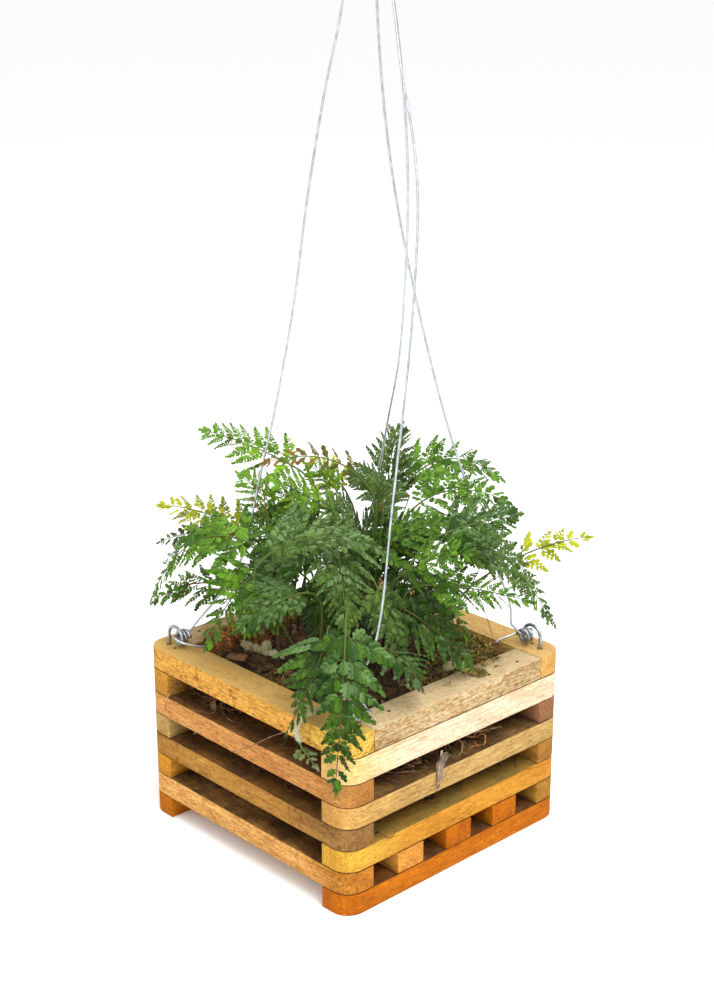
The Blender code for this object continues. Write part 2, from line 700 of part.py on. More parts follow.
def build_frond(name, row, collection, cutters):
    """A frond, or one to join to the frond whose foot it shares."""
    foot, knee, mid, tip, half_width, count, roll, tint = row
    knee, mid, tip = (diagonal_place(*place) for place in (knee, mid, tip))
    rachis = Rachis(knee, mid, tip, roll)
    if name in SHARED_FEET:
        foot = FRONDS[SHARED_FEET[name]][0]
    stem = stem_places(on_mix(diagonal_place(*foot)), knee, rachis.along(0))
    if name in SHARED_FEET:
        return frond_object(name, rachis, stem, half_width, count, cutters)
    finish = material(name, LEAF_COLOURS[tint], 0.5)
    return frond_object(name, rachis, stem, half_width, count, collection, finish)


def main():
    clear_scene()
    collection = new_collection("fern_in_wooden_crate")
    cutters = new_collection("cutters")
    build_crate(collection, rod_bores(cutters), clinch_grooves(cutters))
    build_hanger(collection)
    build_mix(collection, cutters, build_rhizomes(collection, cutters))
    fronds = {name: build_frond(name, row, collection, cutters) for name, row in FRONDS.items()}
    for name, other in SHARED_FEET.items():
        join(fronds[other], fronds[name])


main()
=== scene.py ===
"""Builds the looks of a fern in a hanging crate of stacked wooden slats.

Units are metres and +Z is up. The origin is at the bottom centre of the crate, on the surface
that it stands on. The front of the crate faces -Y and its right side faces +X.
"""

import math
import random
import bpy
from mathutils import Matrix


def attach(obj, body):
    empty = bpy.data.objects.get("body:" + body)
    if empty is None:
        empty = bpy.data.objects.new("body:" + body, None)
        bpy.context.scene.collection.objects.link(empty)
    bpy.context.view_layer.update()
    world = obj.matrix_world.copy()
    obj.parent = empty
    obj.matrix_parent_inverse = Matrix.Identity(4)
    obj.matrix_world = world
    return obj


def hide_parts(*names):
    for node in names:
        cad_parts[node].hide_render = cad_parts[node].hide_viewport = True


bl_info = {
    "name": "Fern in Wooden Crate",
    "version": (1, 0, 0),
    "blender": (4, 5, 0),
    "location": "3D View > Sidebar > Fern Crate",
    "description": "Adds a divided-leaf fern growing in a crate of slats with a wire hanger",
    "category": "Add Mesh",
}

from contextlib import contextmanager

import bpy
import numpy as np
from bpy.props import FloatProperty, FloatVectorProperty, IntProperty, PointerProperty
from bpy.types import Operator, Panel, PropertyGroup
from mathutils import Matrix, Vector, noise

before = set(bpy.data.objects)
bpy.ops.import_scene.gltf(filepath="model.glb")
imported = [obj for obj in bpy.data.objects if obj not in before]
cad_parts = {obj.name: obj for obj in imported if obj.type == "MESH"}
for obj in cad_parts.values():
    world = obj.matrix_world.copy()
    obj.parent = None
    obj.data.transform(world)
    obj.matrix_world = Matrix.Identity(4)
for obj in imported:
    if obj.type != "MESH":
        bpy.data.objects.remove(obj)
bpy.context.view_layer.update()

MM = 0.001
GAP = 0.3 * MM
UP = Vector((0, 0, 1))
ACROSS = Vector((1, 1, 0)).normalized()
TOWARD = Vector((1, -1, 0)).normalized()

# Noise vectors start at a place that differs from run to run unless it is set.
NOISE_SEED = 5

# Crate
SIDE = 152 * MM
SLAT_WIDTH = 17.6 * MM
LAYER_HEIGHTS = [height * MM for height in (11.5, 11.8, 11.5, 11.4, 11.4, 11.8, 13.3, 11.7)]
CORNER_RADIUS = 10 * MM
FLOOR_SLATS = 3
RIM = sum(LAYER_HEIGHTS)
INSIDE = SIDE / 2 - SLAT_WIDTH
ROD_PLACE = (SIDE - SLAT_WIDTH) / 2
SLAT_STATIONS = 18
WORN_ANGLE = 40

# Corner rods and their eyes
ROD_RADIUS = 0.95 * MM
BORE_RADIUS = 1.45 * MM
ARCH_RADIUS = 5.7 * MM
EYE_HEIGHT = 5 * MM
EYE_RADIUS = 3.4 * MM
EYE_PITCH = 2.4 * MM
EYE_TURNS = 2
ARCH_STEPS = 14
COIL_STEPS = 20
CLINCH_LENGTH = 7 * MM
CLINCH_DEPTH = 2.6 * MM
CLINCH_BEND = 1.4 * MM

# Hanger
WIRE_RADIUS = 0.6 * MM
APEX = Vector((6, 6, 0)) * MM
BUNDLE_TOP = 480 * MM
BUNDLE_BOTTOM = 464 * MM
BUNDLE_RADIUS = 1.9 * MM
BINDING_RADIUS = 4.0 * MM
BINDING_PITCH = 2.4 * MM
BINDING_TURNS = 3
BINDING_STEPS = 16
BINDING_TAIL = 7 * MM
BINDING_START = 478 * MM
HOOK_RADIUS = 11 * MM
HOOK_HEIGHT = 504 * MM

# Each wire from the bundle down to its eye, in millimetres: outward along its corner's
# diagonal, aside along the other diagonal, and height.
WIRE_ROUTES = {
    "front_left": [(1, -3, 452), (5, 0, 412), (14, 0, 369), (22, 0, 322), (29, 0, 271),
                   (38, 0, 223), (46, 0, 188), (53, 0, 156), (59, 0, 136), (68, 0, 122)],
    "front_right": [(4, 12, 452), (8, 18, 412), (12, 22, 382), (16, 28, 349), (22, 30, 315),
                    (32, 27, 259), (42, 22, 210), (52, 19, 182), (64, 15, 141), (73, 10, 121)],
    "back_right": [(11, 1, 452), (10.5, 0, 412), (14, 0, 365), (20, 0, 322), (29, 0, 278),
                   (40, 0, 233), (50, 0, 199), (62, 0, 164), (72, 0, 137), (79, 0, 119)],
    "back_left": [(4, 11, 452), (8, 18, 412), (12, 22, 380), (18, 25, 338), (25, 25, 293),
                  (35, 22, 240), (46, 16, 201), (58, 10, 162), (68, 5, 135), (76, 1, 118)],
}

# Quarter turns from the front right corner to each corner.
CORNER_TURNS = {"front_left": -1, "front_right": 0, "back_right": 1, "back_left": 2}

# The end of each wire, hooked through its eye: along the eye's arch, along its coil, and
# above the rim, in millimetres from the rod.
WIRE_END = [(10.7, 10.4, 12.6), (9.3, 8.0, 9.3), (8.3, 5.8, 6.9), (7.8, 3.2, 6.2),
            (7.5, 0.4, 6.3), (7.5, -1.9, 6.8), (8.4, -3.1, 6.9), (10.2, -3.2, 6.2),
            (12.8, -1.9, 4.9), (15.4, 1.2, 3.5), (17.6, 5.3, 2.1), (19.2, 9.0, 1.2),
            (20.3, 11.8, -0.6)]

# Potting mix
MIX_LEVEL = 86 * MM
MIX_RIPPLE = 0.6 * MM
MIX_CUTS = 53
MOUNDS = [(38, 30, 20, 9), (-36, -44, 16, 7), (4, 0, 38, 6), (34, -34, 18, 4),
          (-30, 34, 22, 5), (44, 8, 12, 4)]

# Fronds
RIB_HALF = 0.65 * MM
BLADE_SAG = 0.2
FIRST_PINNA = 0.03
LAST_PINNA = 0.96
PINNA_STEP = 0.9
PINNA_NARROWING = 0.84
BASE_LEAN = 62
TIP_LEAN = 42
STIPE_DEPTH = 5 * MM
STIPE_START = 0.8 * MM
STIPE_RISE = 0.45
STIPE_REACH = 0.3

# Radii of the stalk and of the rachis, in millimetres, and how much each loses on its way.
STALK_FOOT, STALK_TAPER = 0.68, 0.16
RACHIS_START, RACHIS_TAPER = 0.52, 0.34

# Radius of a pinna's rib in millimetres, and how much it loses, in so many steps.
PINNA_RIB, PINNA_TAPER = 0.24, 0.16
PINNA_STEPS = 6

# Where a pinna's leaflets start and end, how they lean and how that changes, and how much
# longer those that point to the tip are than those that point back.
FIRST_LEAFLET, LAST_LEAFLET = 0.09, 0.93
LEAFLET_LEAN, LEAN_LOSS = 54, 20
FORWARD_LENGTH, BACKWARD_LENGTH = 1.12, 0.9
FIRST_LENGTH = 1.2
STAGGER = 0.22
WIDEST_LANE = 0.45

# A frond's end: its leaflets against its half width, how they shrink and their spacing.
TIP_SIZE, TIP_SHRINK, TIP_STEP = 0.13, 0.86, 0.5

# A pinna shorter than this is one leaflet, and no leaflet is shorter than the second.
SHORT_PINNA = 7.5 * MM
SHORT_LEAFLET = 1.1 * MM
END_LEAFLET = 1.6 * MM

# Fronds, in millimetres across, toward and up: where the stipe stands, where the blade
# starts, its rachis half way and its tip. Then the blade's half width, its pairs of pinnae,
# its roll in degrees and its tint.
FRONDS = {
    "frond_over_corner": ((8, 56), (-1, 86, 144), (-2, 108, 115), (-5, 118, 74), 27, 8, 0, "dark"),
    "frond_over_left": ((-8, 52), (-10, 74, 134), (-16, 91, 118), (-30, 93, 88), 20, 7, -10, "dark"),
    "frond_front_high": ((-1, 20), (-7, 34, 173), (-5, 52, 160), (-1, 68, 133), 29, 8, 0, "grey"),
    "frond_front_mid": ((15, 40), (11, 48, 149), (19, 55, 132), (26, 61, 110), 19, 7, 0, "grey"),
    "frond_front_left": ((-17, 45), (-21, 59, 147), (-34, 67, 145), (-52, 74, 134), 22, 7, -25, "dark"),
    "frond_left_droop": ((-37, 23), (-44, 25, 143), (-56, 36, 138), (-72, 38, 109), 26, 7, -35, "leaf"),
    "frond_front_fan": ((-25, 35), (-41, 57, 163), (-19, 61, 175), (7, 60, 172), 24, 8, 40, "grey"),
    "frond_left_arc": ((-34, 15), (-45, 17, 153), (-78, 12, 155), (-103, 7, 120), 23, 9, -30, "leaf"),
    "frond_left_low": ((-50, -4), (-64, -10, 121), (-84, -13, 122), (-105, -14, 111), 20, 6, -25, "leaf"),
    "frond_left_tip": ((-42, -9), (-54, -18, 147), (-78, -24, 157), (-102, -27, 160), 20, 7, -30, "yellow"),
    "frond_left_pale": ((-44, -13), (-62, -28, 139), (-81, -30, 144), (-104, -33, 137), 16, 6, -30, "grey"),
    "frond_top_left": ((-31, -29), (-29, -35, 177), (-54, -38, 189), (-79, -42, 196), 26, 8, -25, "bright"),
    "frond_bronze": ((0, -5), (3, 2, 186), (-18, 5, 197), (-45, 7, 194), 17, 7, -40, "bronze"),
    "frond_left_high": ((-34, -15), (-35, -11, 157), (-46, -13, 170), (-58, -14, 181), 22, 6, -40, "bright"),
    "frond_centre": ((-14, 2), (-7, 8, 165), (-22, 13, 179), (-37, 17, 188), 26, 6, -45, "bright"),
    "frond_centre_low": ((-16, 8), (-12, 10, 147), (-31, 9, 151), (-51, 6, 142), 24, 7, -45, "dark"),
    "frond_upright": ((7, -34), (16, -67, 147), (17, -71, 169), (22, -77, 188), 27, 7, 0, "grey"),
    "frond_mid_top": ((9, -20), (20, -32, 154), (11, -27, 169), (-3, -23, 180), 24, 6, -45, "grey"),
    "frond_right_top": ((24, -19), (25, -25, 173), (48, -29, 186), (75, -34, 174), 26, 8, 25, "leaf"),
    "frond_right_high": ((24, -3), (29, 7, 171), (50, 6, 181), (76, 6, 175), 24, 7, 35, "leaf"),
    "frond_centre_right": ((16, 10), (10, 20, 149), (26, 21, 163), (42, 23, 169), 24, 6, 40, "leaf"),
    "frond_right_broad": ((50, 8), (42, 39, 169), (59, 38, 175), (78, 38, 180), 25, 7, 35, "dark"),
    "frond_right_droop": ((34, 3), (39, 21, 156), (68, 24, 157), (100, 25, 117), 26, 9, 28, "grey"),
    "frond_right_pale": ((25, 25), (24, 47, 152), (39, 55, 163), (55, 56, 166), 20, 6, 40, "leaf"),
    "frond_right_arm": ((25, 33), (35, 45, 146), (57, 46, 145), (86, 45, 138), 21, 8, 25, "leaf"),
    "frond_right_front": ((25, 33), (22, 37, 132), (39, 41, 122), (58, 44, 104), 26, 8, 25, "dark"),
    "frond_right_low": ((23, 45), (18, 65, 121), (27, 73, 117), (35, 75, 105), 18, 6, 0, "dark"),
    "frond_lime": ((47, -11), (79, -6, 139), (99, -7, 148), (119, -8, 152), 16, 6, 30, "lime"),
    "frond_back_left": ((-27, -33), (-37, -45, 144), (-54, -56, 146), (-67, -62, 122), 26, 7, 0, "leaf"),
    "frond_back_right": ((25, -35), (33, -47, 138), (48, -61, 142), (60, -68, 118), 25, 7, 0, "leaf"),
    "frond_back_low": ((-17, -39), (-20, -55, 126), (-24, -77, 128), (-29, -96, 102), 25, 7, 0, "dark"),
    "frond_back_mid": ((21, -45), (22, -59, 118), (28, -81, 120), (31, -99, 96), 18, 7, 0, "dark"),
}

# More fronds that fill the crown between the others, in the same terms.
INNER_FRONDS = {
    "inner_left_dark": ((-13, 22), (-24, 31, 152), (-39, 34, 147), (-56, 32, 129), 24, 7, -45, "dark"),
    "inner_centre_dark": ((-6, 18), (-10, 26, 145), (-13, 34, 132), (-18, 39, 113), 26, 7, 0, "dark"),
    "inner_left_low": ((-18, 16), (-32, 23, 133), (-43, 27, 127), (-53, 28, 112), 20, 6, -40, "leaf"),
    "inner_right_dark": ((10, 12), (19, 17, 145), (30, 25, 133), (37, 29, 109), 26, 7, 10, "dark"),
    "inner_right_low": ((15, 5), (28, 7, 128), (43, 11, 124), (59, 12, 103), 22, 7, 20, "leaf"),
    "inner_centre": ((2, 6), (4, 8, 151), (-4, 12, 166), (-14, 10, 175), 22, 6, -45, "grey"),
    "inner_top": ((-3, -6), (-5, -8, 167), (-12, -6, 180), (-23, -7, 189), 20, 6, -45, "bright"),
    "inner_mid_right": ((6, 0), (11, 0, 140), (21, 3, 153), (34, 5, 156), 24, 6, 45, "dark"),
    "inner_left_mid": ((-17, 1), (-31, 1, 148), (-44, 5, 155), (-57, 8, 153), 22, 6, -45, "leaf"),
    "inner_back_left": ((-12, -16), (-22, -23, 147), (-34, -27, 154), (-50, -28, 151), 22, 6, -35, "dark"),
    "inner_low_mid": ((-4, 21), (-7, 30, 134), (-8, 38, 126), (-11, 42, 111), 20, 6, 0, "dark"),
    "inner_low_right": ((4, 21), (7, 30, 136), (17, 38, 129), (26, 41, 113), 20, 7, 10, "dark"),
    "inner_left_back": ((-15, -2), (-28, -3, 133), (-44, -1, 137), (-60, 2, 127), 24, 7, -30, "dark"),
    "inner_upper_mid": ((5, -10), (9, -14, 155), (15, -14, 167), (24, -17, 175), 20, 6, 30, "grey"),
    "inner_upper_left": ((-10, -10), (-19, -15, 157), (-30, -15, 167), (-43, -17, 170), 20, 6, -40, "leaf"),
    "inner_back_centre": ((-1, -8), (-1, -12, 137), (4, -12, 150), (13, -14, 159), 22, 6, 40, "dark"),
    "inner_gap_right": ((4, 4), (8, 6, 121), (15, 4, 135), (23, -1, 149), 26, 7, 55, "dark"),
    "inner_gap_left": ((4, -1), (7, -2, 121), (-1, -2, 136), (-10, -4, 150), 24, 7, -55, "dark"),
    "inner_gap_low": ((1, 10), (2, 14, 122), (12, 20, 121), (22, 25, 112), 24, 7, 10, "dark"),
    "inner_far_left": ((-6, -38), (-8, -48, 130), (-20, -61, 138), (-34, -72, 122), 24, 7, 0, "leaf"),
    "inner_far_mid": ((4, -42), (6, -54, 126), (10, -69, 130), (14, -86, 112), 24, 7, 0, "dark"),
    "inner_far_right": ((16, -34), (24, -46, 130), (38, -54, 137), (52, -60, 126), 22, 7, 0, "leaf"),
    "inner_yellow": ((-3, -20), (-5, -28, 168), (-13, -30, 178), (-22, -29, 185), 13, 5, -45, "lime"),
}

# Fronds that grow from the foot of another one, and stand in its node.
SHARED_FEET = {
    "frond_left_pale": "frond_left_tip",
    "frond_centre_right": "frond_right_high",
    "frond_mid_top": "frond_upright",
    "frond_right_arm": "frond_right_front",
    "frond_back_low": "frond_back_left",
    "frond_back_mid": "frond_back_right",
}

# The fronds nearest to the eye, whose leaflets get all their teeth.
BROAD_FRONDS = {
    "frond_over_corner", "frond_over_left", "frond_front_high", "frond_front_mid",
    "frond_front_left", "frond_front_fan", "frond_right_front", "frond_right_low",
    "frond_right_broad", "frond_right_arm", "frond_left_droop", "frond_right_pale",
}

# Moss, in millimetres from the centre: x, y, how far it spreads and its share of the shoots.
MOSS_SPOTS = [(47, 36, 4, 22), (54, 34, 4, 20), (51, 26, 5, 14), (53, 16, 5, 12), (67, 20, 2, 5),
              (52, 2, 6, 8), (40, 18, 7, 7), (-12, -50, 5, 4), (8, -50, 8, 4), (-44, -50, 4, 4)]

# Matted fibre, in the same terms, with its colour.
FIBRE_SPOTS = [(-52, -39, 4, 26, "red"), (-47, -46, 4, 12, "red"), (-55, -30, 4, 12, "red"),
               (-40, -36, 6, 10, "red"), (-40, -50, 6, 8, "brown"), (-20, -50, 9, 10, "brown"),
               (40, -30, 14, 12, "brown"), (50, 30, 6, 14, "gold"), (52, 8, 8, 12, "gold"),
               (44, 30, 12, 12, "brown"), (0, 0, 34, 22, "brown")]

FIBRE_TONES = {
    "red": ((0.13, 0.042, 0.010), (0.62, 0.260, 0.075)),
    "brown": ((0.022, 0.011, 0.005), (0.20, 0.110, 0.048)),
    "gold": ((0.11, 0.070, 0.020), (0.48, 0.34, 0.150)),
}

# Where bits gather in the gaps: layer, quarter turns from the front and place along the side
# in millimetres. Then the share of the bits that lie there.
GAP_CLUMPS = [(6, 0, -44), (6, 0, -30), (5, 1, -20), (5, 1, 8)]
CLUMP_SHARE = 0.45

# Loose fibres and twigs, in millimetres: the radius and the places.
TWIGS = [
    (0.34, [(28, -70, 80), (22, -76.5, 76.5), (10, -77.4, 68), (0, -77.6, 62),
            (-6, -77.8, 58.6)]),
    (0.30, [(-52, -74, 78), (-54, -78, 74), (-56, -79, 68), (-57, -79, 64)]),
    (0.45, [(77.6, -17.8, 51.5), (78.2, -14, 54), (77.6, -9.5, 57.6)]),
    (0.60, [(62, 9, 60), (67, 22, 62.4), (70, 36, 61.2)]),
    (0.35, [(60, -40, 60), (66, -34, 59.2), (70, -25, 58.8)]),
    (0.30, [(61, 0, 64), (68, 4, 59), (74, 6, 58.2)]),
    (0.30, [(-30, -64, 71), (-18, -70, 70.4), (-8, -69, 70.2)]),
    (0.30, [(-44, -60, 73), (-38, -66, 77), (-30, -63, 80)]),
    (0.40, [(-52, -62, 47), (-48, -68, 50), (-43, -66, 54)]),
]

# Nail holes in the fillers, drawn as dark discs of painted shade, in millimetres from the centre.
NAIL_HOLES = [(70.3, 46.1), (71.2, 24.5), (66.5, -40), (-70.5, 44), (-69.5, -46)]

# Rhizomes, in millimetres: the radius, then places across, toward and up.
RHIZOMES = {
    "rhizome_left": (2.3, [(-34, 9, 92), (-43, 6, 92), (-51, 6, 95), (-57, 6, 97.5)]),
    "rhizome_front": (1.5, [(0, 57, 90), (-5, 63, 93), (-9, 70, 96), (-14, 82, 97.5),
                            (-21, 88, 97), (-24, 88.5, 90), (-22.5, 89, 84.5)]),
}

# The young frond at the tip of the front rhizome, in the same terms: its start, middle and tip.
YOUNG_FROND = [(-22, 89.5, 82.5), (-19, 92, 79), (-14, 98, 75.5)]
YOUNG_HALF_WIDTH = 6 * MM * 1.3
YOUNG_PINNAE = 4
YOUNG_MANNER = (1.3, 1.0, 1.0, 2.5, 0.72)

# A leaflet's edge from its base to its tip, with its teeth, and its midrib: shares of its
# length, and of half its width for the edge.
BROAD_EDGE = [(0.0, 0.05), (0.16, 0.30), (0.30, 0.84), (0.44, 0.88), (0.43, 0.50), (0.63, 1.0),
              (0.77, 0.88), (0.71, 0.46), (0.92, 0.60), (1.0, 0.24)]
BROAD_MIDRIB = [0.0, 0.14, 0.26, 0.38, 0.46, 0.57, 0.68, 0.76, 0.88, 1.06]
SMALL_EDGE = [(0.0, 0.06), (0.34, 0.90), (0.50, 0.98), (0.54, 0.56), (0.86, 0.78), (1.0, 0.26)]
SMALL_MIDRIB = [0.0, 0.25, 0.44, 0.58, 0.8, 1.04]
TINY_EDGE = [(0.0, 0.08), (0.5, 1.0), (0.8, 0.8), (1.0, 0.2)]
TINY_MIDRIB = [0.0, 0.45, 0.75, 1.02]

# The wood of each layer, bottom to top.
LAYER_WOODS = ["orange", "orange", "yellow", "tan", "olive", "pink", "cream", "honey"]


def tone_of(name, description, default):
    return FloatVectorProperty(name=name, description=description, subtype="COLOR", default=default)


class CrateSettings(PropertyGroup):
    corner_radius: FloatProperty(
        name="Corner Radius", description="Radius of the crate's outer corners",
        default=CORNER_RADIUS, unit="LENGTH",
    )
    edge_softness: FloatProperty(
        name="Edge Softness", description="Width of the worn edges of a slat",
        default=0.45 * MM, unit="LENGTH",
    )
    unevenness: FloatProperty(
        name="Unevenness", description="How far a slat's faces wander from flat",
        default=0.13 * MM, unit="LENGTH",
    )
    orange: tone_of("Orange Wood", "Lowest layers", (0.60, 0.19, 0.006))
    yellow: tone_of("Yellow Wood", "Third layer", (0.66, 0.33, 0.035))
    tan: tone_of("Tan Wood", "Fourth layer", (0.50, 0.26, 0.055))
    olive: tone_of("Olive Wood", "Fifth layer", (0.57, 0.40, 0.150))
    pink: tone_of("Pink Wood", "Sixth layer", (0.64, 0.33, 0.110))
    cream: tone_of("Cream Wood", "Seventh layer", (0.98, 0.76, 0.57))
    pale: tone_of("Pale Wood", "Fillers", (0.84, 0.62, 0.36))
    honey: tone_of("Honey Wood", "Top layer", (0.76, 0.46, 0.095))


class WireSettings(PropertyGroup):
    zinc: tone_of("Zinc", "Colour of the wires", (0.34, 0.36, 0.38))
    sides: IntProperty(
        name="Roundness", description="Bevel resolution of the wires", default=4, min=1,
    )


class FernSettings(PropertyGroup):
    leaflet_share: FloatProperty(
        name="Leaflet Length", description="Length of a leaflet against half its pinna's lane",
        default=1.3, min=0.2,
    )
    leaflet_step: FloatProperty(
        name="Leaflet Spacing", description="Distance between leaflets against their length",
        default=0.52, min=0.2,
    )
    restlessness: FloatProperty(
        name="Restlessness", description="How far leaflets and pinnae tilt at random",
        default=math.radians(13), subtype="ANGLE",
    )
    # The dark tint is partly the deep green of old fronds and partly painted shade, for the fronds deep in
    # the crown. The grey tint is paled by painted sheen, for fronds that catch the light. The bright tint is
    # partly the fresh green of young fronds and partly painted light that shines through them.
    dark: tone_of("Dark Leaf", "Old fronds at the front", (0.022, 0.074, 0.002))
    grey: tone_of("Grey Leaf", "Old fronds seen along the light", (0.042, 0.100, 0.012))
    leaf: tone_of("Leaf", "Fronds in full growth", (0.048, 0.145, 0.004))
    bright: tone_of("Bright Leaf", "Younger fronds", (0.085, 0.220, 0.006))
    yellow: tone_of("Yellow Leaf", "The frond with a yellow tip", (0.200, 0.270, 0.008))
    lime: tone_of("Lime Leaf", "The youngest frond", (0.240, 0.330, 0.010))
    bronze: tone_of("Bronze Leaf", "The frond that is still unrolling", (0.110, 0.110, 0.010))


class MixSettings(PropertyGroup):
    fibres: IntProperty(name="Fibres", description="Number of coir fibres", default=1300, min=0)
    gap_fibres: IntProperty(
        name="Fibres in Gaps", description="Number of fibres that show between the slats",
        default=800, min=0,
    )
    chips: IntProperty(name="Bark Chips", description="Number of bark chips", default=190, min=0)
    moss: IntProperty(name="Moss", description="Number of moss shoots", default=1000, min=0)
    fur: IntProperty(name="Fur", description="Hairs on a rhizome", default=900, min=0)


class StageSettings(PropertyGroup):
    key: FloatProperty(
        name="Key Light", description="Power of the main light", default=10.0, unit="POWER",
    )
    fill: FloatProperty(
        name="Fill Light", description="Power of the fill light", default=4.0, unit="POWER",
    )
    top: FloatProperty(
        name="Top Light", description="Power of the top light", default=6.0, unit="POWER",
    )
    surround: FloatProperty(
        name="Surround", description="Strength of the white surround", default=1.0,
    )


# Selecting and finishing


def only(*objs):
    bpy.ops.object.select_all(action="DESELECT")
    for obj in objs:
        obj.select_set(True)
    bpy.context.view_layer.objects.active = objs[0]


@contextmanager
def edit_mode():
    """Edit mode on the active object, with its whole mesh selected."""
    bpy.ops.object.mode_set(mode="EDIT")
    bpy.ops.mesh.select_all(action="SELECT")
    yield
    bpy.ops.object.mode_set(mode="OBJECT")


def edit_edges(obj, test):
    """Enters edit mode with only the edges selected that pass the test."""
    only(obj)
    bpy.ops.object.mode_set(mode="EDIT")
    bpy.ops.mesh.select_mode(type="EDGE")
    bpy.ops.mesh.select_all(action="DESELECT")
    bpy.ops.object.mode_set(mode="OBJECT")
    for edge in obj.data.edges:
        edge.select = test(*(obj.data.vertices[i].co for i in edge.vertices))
    bpy.ops.object.mode_set(mode="EDIT")


def apply_modifiers(obj):
    only(obj)
    for modifier in list(obj.modifiers):
        bpy.ops.object.modifier_apply(modifier=modifier.name)


def named(obj, name):
    obj.name = name
    obj.data.name = name
    return obj


def put(obj, material, slot, *nodes):
    """Gives a finished piece its finish, its ride and the nodes that it stands for."""
    obj.data.materials.clear()
    obj.data.materials.append(material)
    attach(obj, "root")
    if nodes:
        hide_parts(*nodes)


def diagonal_place(across, toward, height=0.0):
    """A place from the crate's centre, given in millimetres along its two diagonals."""
    return (ACROSS * across + TOWARD * toward + UP * height) * MM


def layer_floor(layer):
    return sum(LAYER_HEIGHTS[:layer])


def smooth_route(points, steps):
    """A Catmull-Rom curve through the points, with this many steps between each pair."""
    ends = [points[0] * 2 - points[1], *points, points[-1] * 2 - points[-2]]
    route = []
    for before, start, end, after in zip(ends, ends[1:], ends[2:], ends[3:]):
        for step in range(steps):
            t = step / steps
            square = 2 * before - 5 * start + 4 * end - after
            cube = 3 * start - before - 3 * end + after
            route.append((2 * start + (end - before) * t + square * t**2 + cube * t**3) / 2)
    return [*route, points[-1]]


def tapered(route, radius):
    """A route's places, each with its radius, which shrinks to half along the way."""
    count = len(route)
    return [(place, radius * (1 - 0.5 * step / count)) for step, place in enumerate(route)]


def tubes(name, routes, resolution):
    """One mesh of round strands, each a list of (place, radius)."""
    curve = bpy.data.curves.new(name, "CURVE")
    curve.dimensions = "3D"
    curve.bevel_depth = 1.0
    curve.bevel_resolution = resolution
    curve.use_fill_caps = True
    for route in routes:
        spline = curve.splines.new("POLY")
        spline.points.add(len(route) - 1)
        spline.use_smooth = True
        for point, (place, radius) in zip(spline.points, route):
            point.co = (*place, 1)
            point.radius = radius
    obj = bpy.data.objects.new(name, curve)
    bpy.context.collection.objects.link(obj)
    only(obj)
    bpy.ops.object.convert(target="MESH")
    obj = named(bpy.context.object, name)
    with edit_mode():
        bpy.ops.mesh.remove_doubles(threshold=0.002 * MM)
        bpy.ops.mesh.normals_make_consistent(inside=False)
    return obj


# Materials


